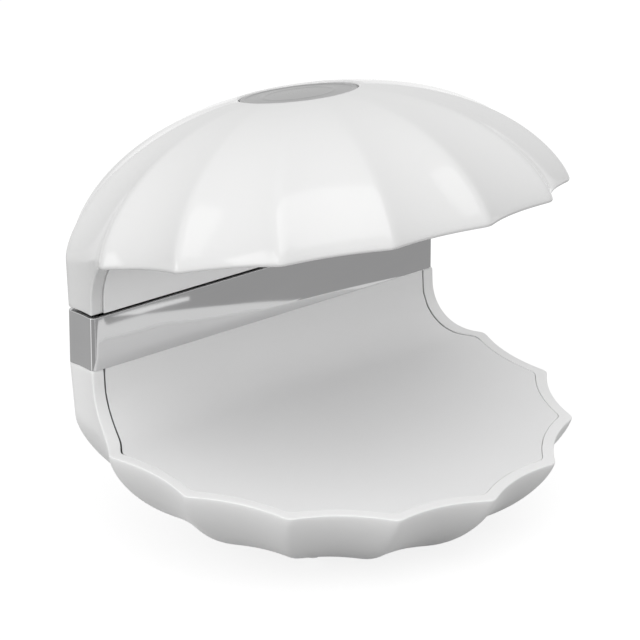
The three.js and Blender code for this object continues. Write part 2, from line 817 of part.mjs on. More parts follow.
// Metal sleeve of the power inlet, closed at its inner end and with a flat tongue in its mouth
function powerInlet() {
  const from = inletFace - inletLength;
  const sleeve = alongDepth(inletWidth, inletTall, inletTall / 2 - overCut, from, inletFace, inletHeight);
  const mouthWidth = inletWidth - 2 * inletSheet;
  const mouthTall = inletTall - 2 * inletSheet;
  const mouthRadius = mouthTall / 2 - overCut;
  const mouth = alongDepth(mouthWidth, mouthTall, mouthRadius, from + inletSheet, farAway, inletHeight);
  const half = inletTongueWidth / 2;
  const low = inletHeight - inletTongueTall / 2;
  const reach = from + inletLength * inletTongueShare;
  const tongue = block(-half, half, from, reach, low, low + inletTongueTall);
  return sleeve.subtract(mouth).add(tongue);
}

// Flat lead that follows a path through the given points
function lead(points) {
  const path = new THREE.CatmullRomCurve3(points);
  const halfWide = leadWidth / 2;
  const halfThick = leadThickness / 2;
  const section = new THREE.Shape([
    new THREE.Vector2(-halfWide, -halfThick),
    new THREE.Vector2(halfWide, -halfThick),
    new THREE.Vector2(halfWide, halfThick),
    new THREE.Vector2(-halfWide, halfThick),
  ]);
  return new THREE.ExtrudeGeometry(section, { steps: leadSteps, extrudePath: path });
}

// Lead from the driver board up behind the hand space and forward to the lamp board
function lampLead() {
  const start = new THREE.Vector3(leadX, driverBoardBack - leadWidth, driverTop + fitGap);
  const rise = new THREE.Vector3(0, 0, leadRise);
  const overBoard = lampBoardTop + fitGap + leadWidth;
  const end = new THREE.Vector3(...fromShell(upper, leadX, -lampBoardSetForward / 2, overBoard));
  const climb = new THREE.Vector3(...fromShell(upper, leadX, backWall, overBoard + leadWidth));
  return lead([start, start.clone().add(rise), climb, end]);
}

function assemble() {
  place("lower_shell", lowerShell(), whiteGloss);
  place("lower_tray", lowerTray(), greySatin);
  place("back_band", backBand(), chrome);
  place("upper_shell", upperShell(), whiteGloss);
  place("upper_liner", upperLiner(), greySatin);

  const ceiling = new THREE.Group();
  ceiling.position.set(0, upper.shift, upper.rim);
  ceiling.rotation.x = -upper.tilt;
  lamp.add(ceiling);

  const crown = new THREE.Group();
  crown.position.y = upperCrownOffset;
  ceiling.add(crown);
  place("timer_button", timerButton(), chrome, crown);
  place("switch_plunger", bar(plungerRadius, plungerTop - plungerHeight, plungerTop, 0, 0), blackPlastic, crown);
  place("tact_switch", tactSwitch(), blackPlastic, crown);
  const halfBoard = buttonBoardWidth / 2;
  const halfBoardDepth = buttonBoardDepth / 2;
  const holes = bar(screwHoleRadius, 0, farAway, -buttonPostSpread, 0).add(
    bar(screwHoleRadius, 0, farAway, buttonPostSpread, 0),
  );
  const buttonBoard = block(
    -halfBoard,
    halfBoard,
    -halfBoardDepth,
    halfBoardDepth,
    buttonBoardBottom,
    buttonBoardTop,
  ).subtract(holes);
  place("button_board", buttonBoard, boardGreen, crown);
  buttonScrews.forEach(({ x }, i) => {
    placeScrew("button_board_screw_" + (i + 1), x, 0, buttonBoardBottom - fitGap, -1, crown);
  });

  place("lamp_board", lampBoard(), boardWhite, ceiling);
  lampSpots().forEach(({ x, y }, i) => {
    const lens = place("lamp_lens_" + (i + 1), lampLens(), clearLens, ceiling);
    lens.position.set(x, y, lampBoardBottom - fitGap);
  });
  lampScrews.forEach(({ x, y }, i) => {
    const name = "lamp_board_screw_" + (i + 1);
    const short = screw(boardThickness + lampBoardLift);
    const mesh = place(name, short, steel, ceiling);
    mesh.position.set(x, y, lampBoardTop + fitGap);
  });
  liningScrews.forEach(({ x, y }, i) => {
    placeScrew("liner_screw_" + (i + 1), x, y, -fitGap, -1, ceiling);
  });

  for (const { name, sign } of tieSides) {
    place("tie_post_" + name, tiePost(sign), blackPlastic);
    const x = sign * flangeScrewX;
    placeScrew("tie_screw_lower_" + name, x, tieSetBack, tieBottom + tieFlangeThickness + fitGap, 1);
    placeScrew("tie_screw_upper_" + name, x, tieSetBack, tieTop - tieFlangeThickness - fitGap, -1);
  }

  place("driver_board", driverBoard(), boardGreen);
  driverScrews.forEach(({ x, y }, i) => {
    placeScrew("driver_board_screw_" + (i + 1), x, y, driverTop + fitGap, 1);
  });
  const seat = driverTop + fitGap;
  const halfCoil = coilWidth / 2;
  const y = driverBoardMiddle;
  const coil = block(coilX - halfCoil, coilX + halfCoil, y - halfCoil, y + halfCoil, seat, seat + coilHeight);
  place("driver_coil", coil, coilDark);
  [0, 1].forEach((i) => {
    const x = capacitorX + i * capacitorPitch;
    place("driver_capacitor_" + (i + 1), bar(capacitorRadius, seat, seat + capacitorHeight, x, y), coilDark);
  });
  const halfChip = chipWidth / 2;
  const chip = block(chipX - halfChip, chipX + halfChip, y - halfChip, y + halfChip, seat, seat + chipHeight);
  place("driver_chip", chip, blackPlastic);
  place("power_inlet", powerInlet(), steel);
  place("lamp_lead", lampLead(), leadRed);

  feet.forEach(({ x, y }, i) => {
    place("foot_" + (i + 1), rubberFoot(), rubberGrey).position.set(x, y, 0);
  });
  baseScrews.forEach(({ x, y }, i) => {
    placeScrew("base_screw_" + (i + 1), x, y, screwSeat(x, y) - fitGap, -1);
  });
}

assemble();

// The lamp stands with the middle of its bounds over the origin
const bounds = new THREE.Box3().setFromObject(lamp);
for (const piece of lamp.children) {
  piece.position.y -= (bounds.min.y + bounds.max.y) / 2;
}

export default lamp;
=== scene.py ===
import math

import bmesh
import bpy
import numpy as np
from mathutils import Matrix, Vector
from mathutils.geometry import delaunay_2d_cdt


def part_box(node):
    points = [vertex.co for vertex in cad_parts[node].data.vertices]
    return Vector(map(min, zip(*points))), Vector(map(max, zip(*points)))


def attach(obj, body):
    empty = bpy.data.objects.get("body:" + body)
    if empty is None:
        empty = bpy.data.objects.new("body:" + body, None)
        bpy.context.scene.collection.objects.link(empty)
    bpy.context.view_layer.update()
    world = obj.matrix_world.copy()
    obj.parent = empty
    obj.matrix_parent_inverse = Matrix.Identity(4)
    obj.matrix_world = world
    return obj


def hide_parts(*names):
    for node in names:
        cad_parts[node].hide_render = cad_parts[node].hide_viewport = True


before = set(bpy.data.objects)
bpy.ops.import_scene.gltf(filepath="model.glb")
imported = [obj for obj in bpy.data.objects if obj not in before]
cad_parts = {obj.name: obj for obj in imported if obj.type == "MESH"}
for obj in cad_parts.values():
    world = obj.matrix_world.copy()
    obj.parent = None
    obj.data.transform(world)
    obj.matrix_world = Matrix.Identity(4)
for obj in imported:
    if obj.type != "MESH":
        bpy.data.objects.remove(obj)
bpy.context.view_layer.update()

MM = 0.001

# Sizes of the lamp in millimetres, the same as its solids have
HALF_WIDTH = 65.0
HALF_DEPTH = 58.0
RIDGES = 16
SIDE_RIDGE = 4
SIDE_TURN = math.radians(97.6)
SHOULDER_TURN = math.radians(119.5)
SHOULDER_SHARE = 1.012
FLUTE = 2.3
WALL = 2.9
GAP = 0.3
PROFILE_POWER = 2.4
PROFILE_ROOT = 1.51
BACK_WALL = 19.1
SWEEP = 13.0
BAND_LOW = 46.5
BAND_HIGH = 59.8
BAND_CORNER = 2.2
BASE = 1.2
BASE_WALL = 2.6
LINING = 2.0
BOARD_LIFT = 1.4
BUTTON_SINK = 1.2
BUTTON_RADIUS = 14.4
BUTTON_GAP = 0.35
BUTTON_THICK = 1.7

# Softening of moulded corners and edges
DOME_RIM_EASE = 0.9
BOWL_RIM_EASE = 0.32
BACK_EASE = 0.45
MOUTH_EASE = 0.5
STRIP_EASE = 0.1
LINING_EASE = 0.14
BAND_TOP_EASE = 0.16
BAND_FOOT_EASE = 0.06

# Seams and grooves as wide as they show, and the strip beside the hand space
SEAM = 0.68
FOOT_SEAM = 0.03
GROOVE = 0.1
SIDE_GROOVE = 0.32
SIDE_WALL = 3.5
TRAY_DROP = 0.08

# Way in ridges over which the side strip and the side groove widen
STRIP_FADE = 0.3
GROOVE_FADE = 0.08

# Passes that soften the flutes at the rim, on the flank and at the crown, and what they take off a ridge
RIDGE_SMOOTHING = 24
FLANK_SMOOTHING = 60
CROWN_SMOOTHING = 1500
RIDGE_GAIN = 0.2

# The least radius that isn't taken for the axis itself
HAIR = 1e-6

# The solids stand a hair off the plan's own middle
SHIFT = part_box("back_band")[0][1] / MM - BACK_WALL


class Half:
    """One of the two shells: which way it opens, and where its rim lies."""

    def __init__(self, side, rim, tilt, height, crown, shift, edge):
        self.side = side
        self.rim = rim
        self.sin = math.sin(math.radians(tilt))
        self.cos = math.cos(math.radians(tilt))
        self.height = height
        self.crown = crown
        self.shift = shift
        self.edge = edge
        self.arc_y = BACK_WALL - SWEEP
        self.arc_z = self.rim_height(self.arc_y) - side * SWEEP / self.cos

    def place(self, x, y, rise):
        """A point of the shell's own frame, in millimetres over the table."""
        down = self.side * (rise * self.cos - y * self.sin)
        return np.stack([x + 0 * y, self.shift + y * self.cos + rise * self.sin, self.rim + down], -1)

    def rim_height(self, y):
        return self.rim - self.side * (y - self.shift) * self.sin / self.cos


UPPER = Half(1, 77.3, 9.85, 31.1, 2.5, 1.15, BAND_HIGH + SEAM)
LOWER = Half(-1, 28.9, 9.1, 29.1, -3.2, -1.15, BAND_LOW)


# Plan of the shells


def ridge_turn(index):
    if index > RIDGES / 2:
        return 2 * math.pi - ridge_turn(RIDGES - index)
    if index <= SIDE_RIDGE:
        return SIDE_TURN / SIDE_RIDGE * index
    past = index - SIDE_RIDGE - 1
    return SHOULDER_TURN + (math.pi - SHOULDER_TURN) / (RIDGES / 2 - SIDE_RIDGE - 1) * past


def ridge_point(index):
    index %= RIDGES
    turn = ridge_turn(index)
    reach = SHOULDER_SHARE if min(index, RIDGES - index) == SIDE_RIDGE + 1 else 1.0
    return reach * np.array([HALF_WIDTH * math.sin(turn), -HALF_DEPTH * math.cos(turn)])


# Points along each flute, and the share of a margin that a flute loses at each of its ends
FLUTE_POINTS = 96
RIDGE_TRIM_SHARE = 0.62


def plan_table(margin, smoothing):
    """Fluted outline moved inwards by a margin, its ridges eased, as closed lists of places and points."""
    rows = []
    margin = margin - RIDGE_GAIN
    for ridge in range(RIDGES):
        start, end = ridge_point(ridge), ridge_point(ridge + 1)
        along = end - start
        length = np.hypot(*along)
        along /= length
        inward = np.array([-along[1], along[0]])
        trim = margin * RIDGE_TRIM_SHARE / length
        share = np.arange(FLUTE_POINTS) / FLUTE_POINTS * (1 - 2 * trim) + trim
        flute = start + share[:, None] * length * along + (4 * share * (1 - share) * FLUTE)[:, None] * inward
        slope = 4 * (1 - 2 * share) * FLUTE / length
        normal = inward - slope[:, None] * along
        normal /= np.hypot(normal[:, 0], normal[:, 1])[:, None]
        rows.append(flute + margin * normal)
    points = np.concatenate(rows)
    for _ in range(smoothing):
        points = 0.5 * points + 0.25 * (np.roll(points, 1, 0) + np.roll(points, -1, 0))
    places = np.arange(RIDGES * FLUTE_POINTS + 1) / FLUTE_POINTS
    return places, np.concatenate([points, points[:1]])


PLANS = {}


def plan(place, margin=0.0, smoothing=RIDGE_SMOOTHING):
    """Points of the outline at places counted in ridges from the front, going round by +x."""
    if (margin, smoothing) not in PLANS:
        PLANS[margin, smoothing] = plan_table(margin, smoothing)
    places, points = PLANS[margin, smoothing]
    wrapped = np.mod(place, RIDGES)
    return np.stack([np.interp(wrapped, places, points[:, i]) for i in (0, 1)], -1)


def smooth_step(value):
    share = np.clip(value, 0, 1)
    return share * share * (3 - 2 * share)


def inner_plan(place, groove=0.0):
    """Inner edge of the strip, which is wider behind the side ridge, or the lining's edge beyond a groove."""
    past = np.minimum(np.mod(place, RIDGES), RIDGES - np.mod(place, RIDGES)) - SIDE_RIDGE
    side = smooth_step(past / STRIP_FADE)[..., None]
    if groove == 0:
        return plan(place, WALL) * (1 - side) + plan(place, SIDE_WALL) * side
    opened = np.clip(past / GROOVE_FADE + 1, 0, 1)[..., None]
    thin, broad = plan(place, WALL + groove), plan(place, WALL + groove + SIDE_GROOVE)
    front = thin * (1 - opened) + broad * opened
    return front * (1 - side) + plan(place, SIDE_WALL + groove + SIDE_GROOVE) * side


def crowded(start, end, steps, pull=0.6):
    """Places from one ridge to the next, closer together at the ridges."""
    even = np.linspace(start, end, steps + 1)[:-1]
    ridge = np.floor(even + 1e-9)
    past = even - ridge
    return ridge + past - pull * np.sin(2 * np.pi * past) / (2 * np.pi)


# Side curve of the hand space

DRAFT = 0.05
EDGE_TURN = 0.75
ARC_STEPS = 22
UPRIGHT_STEPS = 4
CORNER_STEPS = 6


def sweep_curve(half):
    """Side edge of a shell as depths and heights from the arc's foot to the band, with its normals."""
    points, normals = [], []
    tilt = math.atan2(half.sin, half.cos)
    for step in range(ARC_STEPS + 1):
        turn = (1 - step / ARC_STEPS) * (math.pi / 2 - tilt)
        out = np.array([math.cos(turn), half.side * math.sin(turn)])
        points.append(np.array([half.arc_y, half.arc_z]) + SWEEP * out)
        normals.append(-out)
    top = half.edge + half.side * EDGE_TURN
    for step in range(1, UPRIGHT_STEPS):
        z = half.arc_z + (top - half.arc_z) * step / UPRIGHT_STEPS
        points.append(np.array([BACK_WALL + DRAFT * abs(z - half.arc_z), z]))
        normals.append(np.array([-1.0, 0.0]))
    corner_y = BACK_WALL + DRAFT * abs(top - half.arc_z) + EDGE_TURN
    for step in range(CORNER_STEPS + 1):
        turn = step / CORNER_STEPS * math.pi / 2
        out = np.array([-math.cos(turn), -half.side * math.sin(turn)])
        points.append(np.array([corner_y, top]) + EDGE_TURN * out)
        normals.append(out)
    return np.array(points), np.array(normals)


def skirt_point(half, place, z, inner=False, groove=0.0):
    """A point of the wall between the tilted rim and the edge at the band, or of its inner face."""
    flat = inner_plan(place, groove) if inner else plan(place)
    rim = half.place(flat[..., 0], flat[..., 1], 0 * flat[..., 0])
    share = np.clip((z - rim[..., 2]) / (half.edge - rim[..., 2]), 0, 1)
    x = rim[..., 0] + share * (flat[..., 0] - rim[..., 0])
    y = rim[..., 1] + share * (flat[..., 1] - rim[..., 1])
    return np.stack([x, y, z + 0 * x], -1)


SIDE_PLACES = np.linspace(SIDE_RIDGE - 0.02, SIDE_RIDGE + 1, 400)


def place_at_depth(half, y, z, inner=False, groove=0.0):
    """Place on the right-hand side flute where the wall stands at a depth, at a given height."""
    heights = np.full(len(SIDE_PLACES), z)
    depths = skirt_point(half, SIDE_PLACES, heights, inner, groove)[:, 1]
    return float(np.interp(y, depths, SIDE_PLACES))


# Columns of points that make up a shell

# Shares of the way from a crown to its rim: where the flutes begin and are full, and the last stretch
DOME_FLUTE_SHARES = (0.25, 1.0)
BOWL_FLUTE_SHARES = (0.1, 0.8)
LAST_SHARE = 0.1
PATH_POINTS = 90


def dome_path(half, place, lowest_rise=0.0):
    """Points down the dome from the button's seat to its rim, at one place of the outline."""
    passes = (RIDGE_SMOOTHING, FLANK_SMOOTHING, CROWN_SMOOTHING)
    rim, flank, soft = (plan(place, 0.0, count) for count in passes)
    reach = math.hypot(soft[0], soft[1] - half.crown)
    start = (BUTTON_RADIUS + BUTTON_GAP + MOUTH_EASE) / reach if half.side > 0 else 0.0
    end = 1.0
    if lowest_rise > 0:
        end = (1 - (lowest_rise / half.height) ** PROFILE_ROOT) ** (1 / PROFILE_POWER)
    share = np.sin(np.linspace(math.asin(start), math.asin(end), PATH_POINTS))
    share[-1] = end
    rise = half.height * np.clip(1 - share**PROFILE_POWER, 0, None) ** (1 / PROFILE_ROOT)
    low, high = DOME_FLUTE_SHARES if half.side > 0 else BOWL_FLUTE_SHARES
    crisp = smooth_step((share - low) / (high - low))[:, None]
    last = np.clip((share - (1 - LAST_SHARE)) / LAST_SHARE, 0, 1)[:, None] ** 2
    flat = soft + crisp * (flank + last * (rim - flank) - soft)
    return half.place(share * flat[:, 0], half.crown + share * (flat[:, 1] - half.crown), rise)


def quarter_round(steps):
    """A rounded edge's points as shares of its radius, in from one face and down from the other."""
    return [(1 - math.sin(t), 1 - math.cos(t)) for t in np.linspace(0, math.pi / 2, steps + 1)]


def resample(path, fractions):
    step = np.linalg.norm(np.diff(path, axis=0), axis=1)
    length = np.concatenate([[0], np.cumsum(step)])
    return np.stack([np.interp(fractions * length[-1], length, path[:, i]) for i in range(3)], -1)


# Rows of each column of points, from the crown over the edge and the strip up the inner wall
DOME_ROWS = 64
DOME_SHARES = np.linspace(0, 1, DOME_ROWS) ** 0.9
SKIRT_ROWS = 12
STRIP_SHARES = (0.25, 0.5, 0.75, 1.0)
WALL_DEPTHS = (STRIP_EASE, 1.2, 3.0)
INNER_ROWS = 12
INNER_SHARES = np.linspace(0.92, 0, INNER_ROWS)
INNER_CROWN = 6.4


def path_to_height(half, place, z):
    """Points down the dome, and on down its skirt if need be, to a height."""
    path = dome_path(half, place)
    over = half.side * (z - path[-1][2]) / half.cos
    if over > 0:
        return dome_path(half, place, over)
    drop = skirt_point(half, np.full(SKIRT_ROWS, place), np.linspace(path[-1][2], z, SKIRT_ROWS))
    return np.concatenate([path, drop[1:]])


def shell_column(half, path, edge, strip_end, into, ease):
    """One column of points: down a path, over the rounded edge, along the strip and up the inner wall."""
    outer = resample(path, DOME_SHARES)
    along = strip_end - edge
    width = np.linalg.norm(along)
    along /= width
    arm = outer[-1] - edge
    rolled = [edge + arm * out + along * ease * down for out, down in quarter_round(4)[1:]]
    flat = [edge + along * (ease + (width - ease - STRIP_EASE) * share) for share in STRIP_SHARES]
    deep = [strip_end + into * depth for depth in WALL_DEPTHS]
    heart = np.array([0.0, 0.0, half.edge])
    reach = resample(path, INNER_SHARES) - heart
    thick = np.linspace(WALL, INNER_CROWN if half.side > 0 else WALL, INNER_ROWS)
    inner = heart + reach * (1 - thick / np.linalg.norm(reach, axis=1))[:, None]
    return np.array([*outer, *rolled, *flat, *deep, *inner])


# Columns to a flute and up the side's flank, and how many the edge, the strip and the lag take to change
FLUTE_COLUMNS = 26
FLANK_COLUMNS = 18
EDGE_FADE = 18
STRIP_FADE_COLUMNS = 12
LAG_FADE = 14

# Spacing of columns in ridges: past the side ridge, the least there and on the arc, and behind the arc
RIM_SPACING = 0.012
LEAST_RIM_SPACING = 0.008
LEAST_ARC_SPACING = 0.004
FLANK_SPACING = 0.01


def rim_columns(half, last, ease):
    """Columns along the tilted rim, from the front to the foot of the side curve."""
    flutes = crowded(0, SIDE_RIDGE, SIDE_RIDGE * FLUTE_COLUMNS)
    between = max(0, round((last - SIDE_RIDGE) / RIM_SPACING))
    past_ridge = crowded(SIDE_RIDGE, last, between, 0.0)
    into = np.array([0, half.sin, half.side * half.cos])
    columns = []
    for place in [*flutes[flutes < last - LEAST_RIM_SPACING], *past_ridge]:
        edge, strip = (half.place(*flat, 0.0) for flat in (plan(place), inner_plan(place)))
        columns.append(shell_column(half, dome_path(half, place, ease), edge, strip, into, ease))
    return columns


def arc_columns(half, curve, rim_ease):
    """Columns up the side curve, the place of the last, and how far its strip's place lies off its edge's."""
    columns, place = [], 0.0
    for i, (point, normal) in enumerate(zip(*curve)):
        ease = BACK_EASE + (rim_ease - BACK_EASE) * max(0.0, 1 - i / EDGE_FADE)
        base = point - ease * normal
        place = max(place + LEAST_ARC_SPACING, place_at_depth(half, *base))
        edge_place = place_at_depth(half, *point)
        level_place = place_at_depth(half, *point, inner=True)
        edge = skirt_point(half, edge_place, point[1])
        pull = min(1.0, i / STRIP_FADE_COLUMNS)
        strip = skirt_point(half, pull * level_place + (1 - pull) * edge_place, point[1], True)
        if i < STRIP_FADE_COLUMNS:
            on_arc = math.sqrt(max(SWEEP**2 - (strip[1] - half.arc_y) ** 2, 0))
            strip[2] = half.arc_z + half.side * on_arc if strip[1] > half.arc_y else half.rim_height(strip[1])
        into = np.array([0, -normal[0], -normal[1]])
        columns.append(shell_column(half, path_to_height(half, place, base[1]), edge, strip, into, ease))
    return columns, place, level_place - edge_place


def back_columns(half, last, lag):
    """Columns along the band's edge, from the side curve to the back ridge."""
    middle, shoulder = RIDGES // 2, SIDE_RIDGE + 1
    flank = crowded(last + 2 * FLANK_SPACING, shoulder, FLANK_COLUMNS, 0.0)
    back = crowded(shoulder, middle, (middle - shoulder) * FLUTE_COLUMNS)
    into = np.array([0, 0, half.side])
    columns = []
    for i, place in enumerate([last + FLANK_SPACING, *flank, *back, middle]):
        edge = np.array([*plan(place), half.edge])
        strip = np.array([*inner_plan(place + lag * max(0.0, 1 - i / LAG_FADE)), half.edge])
        path = path_to_height(half, place, half.edge + half.side * BACK_EASE)
        columns.append(shell_column(half, path, edge, strip, into, BACK_EASE))
    return columns


def shell_columns(half):
    """Right half of a shell as columns of points, from the front ridge round to the back one."""
    rim_ease = DOME_RIM_EASE if half.side > 0 else BOWL_RIM_EASE
    curve = sweep_curve(half)
    foot = place_at_depth(half, *curve[0][0])
    side, last, lag = arc_columns(half, curve, rim_ease)
    return np.array([*rim_columns(half, foot, rim_ease), *side, *back_columns(half, last, lag)])


# Mesh helpers


def make_object(name, points, faces, smooth=True):
    mesh = bpy.data.meshes.new(name)
    mesh.from_pydata([tuple(p) for p in points], [], faces)
    mesh.update()
    obj = bpy.data.objects.new(name, mesh)
    bpy.context.scene.collection.objects.link(obj)
    for polygon in mesh.polygons:
        polygon.use_smooth = smooth
    return obj


def tidy_mesh(obj, merge=1e-6):
    work = bmesh.new()
    work.from_mesh(obj.data)
    bmesh.ops.remove_doubles(work, verts=work.verts, dist=merge)
    bmesh.ops.dissolve_degenerate(work, edges=work.edges, dist=merge)
    bmesh.ops.recalc_face_normals(work, faces=work.faces)
    work.to_mesh(obj.data)
    work.free()
    for polygon in obj.data.polygons:
        polygon.use_smooth = True


def join_rings(first, second, count, closed=True):
    """Faces between two runs of points that start at the given numbers."""
    turns = [(j, (j + 1) % count) for j in range(count if closed else count - 1)]
    return [(first + j, first + k, second + k, second + j) for j, k in turns]


def grid_faces(rows, across, start=0, closed=False):
    faces = []
    for row in range(start, start + (rows - 1) * across, across):
        faces += join_rings(row, row + across, across, closed)
    return faces


def settle(obj, body, slot, material, *nodes):
    """Gives a piece its finish, its body, and the solids that it stands for."""
    obj.data.materials.clear()
    obj.data.materials.append(material)
    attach(obj, body)
    if nodes:
        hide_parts(*nodes)
    return obj


def sharpen(obj, degrees):
    """Keeps edges sharper than an angle crisp in an otherwise smooth mesh."""
    work = bmesh.new()
    work.from_mesh(obj.data)
    limit = math.radians(degrees)
    for edge in work.edges:
        edge.smooth = not (len(edge.link_faces) == 2 and edge.calc_face_angle(0) > limit)
    work.to_mesh(obj.data)
    work.free()


def cut(obj, tool):
    """Takes one closed piece out of another."""
    bpy.context.view_layer.update()
    modifier = obj.modifiers.new("cut", "BOOLEAN")
    modifier.object = tool
    modifier.operation = "DIFFERENCE"
    modifier.solver = "MANIFOLD"
    graph = bpy.context.evaluated_depsgraph_get()
    made = bpy.data.meshes.new_from_object(obj.evaluated_get(graph))
    obj.modifiers.clear()
    obj.data = made
    bpy.data.objects.remove(tool)


def turned(name, profile, steps):
    """A piece turned about z, its profile given as (radius, height) in millimetres."""
    points, faces, rings = [], [], []
    for radius, height in profile:
        if radius < HAIR:
            rings.append([len(points)])
            points.append((0, 0, height * MM))
            continue
        rings.append(list(range(len(points), len(points) + steps)))
        for i in range(steps):
            turn = 2 * math.pi * i / steps
            points.append((radius * math.cos(turn) * MM, radius * math.sin(turn) * MM, height * MM))
    for low, high in zip(rings, rings[1:]):
        for i in range(steps):
            k = (i + 1) % steps
            if len(low) == 1 and len(high) == 1:
                continue
            if len(low) == 1:
                faces.append((low[0], high[k], high[i]))
            elif len(high) == 1:
                faces.append((low[i], low[k], high[0]))
            else:
                faces.append((low[i], low[k], high[k], high[i]))
    obj = make_object(name, points, faces)
    tidy_mesh(obj)
    return obj


def eased(corner, before, after, radius, steps=4):
    """Profile points that round a corner between its two neighbours."""
    c, a, b = (np.array(p, float) for p in (corner, before, after))
    start = c + (a - c) / np.linalg.norm(a - c) * radius
    end = c + (b - c) / np.linalg.norm(b - c) * radius
    t = np.linspace(0, 1, steps + 1)[:, None]
    return [tuple(p) for p in (1 - t) ** 2 * start + 2 * t * (1 - t) * c + t**2 * end]


def rounded_profile(points, radii):
    out = [points[0]]
    for before, corner, after, radius in zip(points, points[1:], points[2:], radii[1:]):
        out += eased(corner, before, after, radius) if radius > 0 else [corner]
    return out + [points[-1]]


# Places on the ceiling and the crown


def seat_on_shell(obj, x, y, rise, hanging=False):
    """Stands a piece on the upper shell's own frame, or hangs it there, its tilt kept in its mesh."""
    turn = Matrix.Rotation(-math.atan2(UPPER.sin, UPPER.cos), 4, "X")
    if hanging:
        turn = turn @ Matrix.Rotation(math.pi, 4, "X")
    obj.data.transform(turn)
    at = UPPER.place(np.array(x, float), np.array(y, float), np.array(rise, float)) * MM
    obj.location = (at[0], at[1] + SHIFT * MM, at[2])


# Shader maths


class Wire:
    """One output of a shader node, on which sums can be written."""

    def __init__(self, finish, socket):
        self.finish = finish
        self.socket = socket

    def __add__(self, other):
        return self.finish.node("Math", {0: self, 1: other}, operation="ADD")

    def __mul__(self, other):
        return self.finish.node("Math", {0: self, 1: other}, operation="MULTIPLY")

    __radd__ = __add__
    __rmul__ = __mul__


class Finish:
    """A material built from nodes."""

    def __init__(self, name):
        self.material = bpy.data.materials.new(name)
        self.material.use_nodes = True
        self.tree = self.material.node_tree
        self.tree.nodes.clear()
        self.output = self.tree.nodes.new("ShaderNodeOutputMaterial")

    def feed(self, socket, value):
        if isinstance(value, Wire):
            self.tree.links.new(value.socket, socket)
        else:
            socket.default_value = value

    def node(self, kind, values=None, out=0, **settings):
        made = self.tree.nodes.new("ShaderNode" + kind)
        for key, value in settings.items():
            setattr(made, key, value)
        for key, value in (values or {}).items():
            self.feed(made.inputs[key], value)
        return Wire(self, made.outputs[out])

    def places(self):
        return self.node("TexCoord", out="Object")

    def noise(self, scale, detail, roughness=0.5, stretch=None):
        where = self.places()
        if stretch:
            where = self.node("Mapping", {"Vector": where, "Scale": stretch})
        values = {"Vector": where, "Scale": scale, "Detail": detail, "Roughness": roughness}
        return self.node("TexNoise", values)

    def blend(self, factor, first, second):
        return self.node("Mix", {0: factor, 6: first, 7: second}, out=2, data_type="RGBA")

    def ramp(self, value, stops):
        """A colour that runs from one stop to another."""
        shade = self.node("ValToRGB", {0: value})
        for element, (position, colour) in zip(shade.socket.node.color_ramp.elements, stops):
            element.position = position
            element.color = colour
        return shade

    def bump(self, height, distance, strength):
        return self.node("Bump", {"Height": height, "Distance": distance, "Strength": strength})

    def surface(self, **sockets):
        shader = self.tree.nodes.new("ShaderNodeBsdfPrincipled")
        for key, value in sockets.items():
            self.feed(shader.inputs[key.replace("_", " ")], value)
        self.tree.links.new(shader.outputs[0], self.output.inputs[0])
        return self.material


def tone(value, tint=(1, 1, 1)):
    return (value * tint[0], value * tint[1], value * tint[2], 1)


def plain_finish(name, shades, rough, noises, bump=None, **sockets):
    """A finish made of noises: its colour follows the first one and its bump the last.

    Its roughness is given as a base and the shares of the noises that are added to it.
    """
    f = Finish(name)
    made = [f.noise(*noise) for noise in noises]
    rough, *shares = rough
    for share, noise in zip(shares, made):
        rough = rough + share * noise
    if bump:
        sockets["Normal"] = f.bump(made[-1], *bump)
    return f.surface(Base_Color=f.blend(made[0], *shades), Roughness=rough, **sockets)


def satin(name, low, high):
    noises = [(14, 3), (1800, 4, 0.6)]
    return plain_finish(name, (tone(low), tone(high)), (0.42, 0.08, 0.08), noises, (0.000012, 0.6), IOR=1.48)


def plastic(name, low, high, rough):
    return plain_finish(name, (low, high), (rough, 0.1), [(1300, 3, 0.6)], (0.00002, 0.5))


def button_chrome():
    f = Finish("button_chrome")
    radius = f.node("VectorMath", {0: f.places()}, out="Value", operation="LENGTH")
    spun = f.node("TexNoise", {"W": radius * 9000, "Scale": 1.0, "Detail": 2.0}, noise_dimensions="1D")
    cloud = f.noise(60, 2)
    colour = f.blend(spun, tone(0.43), tone(0.52))
    rough = 0.22 + 0.12 * spun + 0.05 * cloud
    return f.surface(Base_Color=colour, Metallic=1.0, Roughness=rough, Normal=f.bump(spun, 0.00002, 0.25))


def board_finish(name, mask, track):
    f = Finish(name)
    cells = f.node("TexBrick", {"Vector": f.places(), "Scale": 220.0, "Mortar Size": 0.03}, out="Fac")
    grain = f.noise(700, 3)
    colour = f.blend(cells * 0.6 + 0.15 * grain, mask, track)
    return f.surface(Base_Color=colour, Roughness=0.35 + 0.2 * grain, Normal=f.bump(cells, 0.00003, 0.4))


WARM = (1, 1, 0.995)
COLD = (1, 1, 1.005)

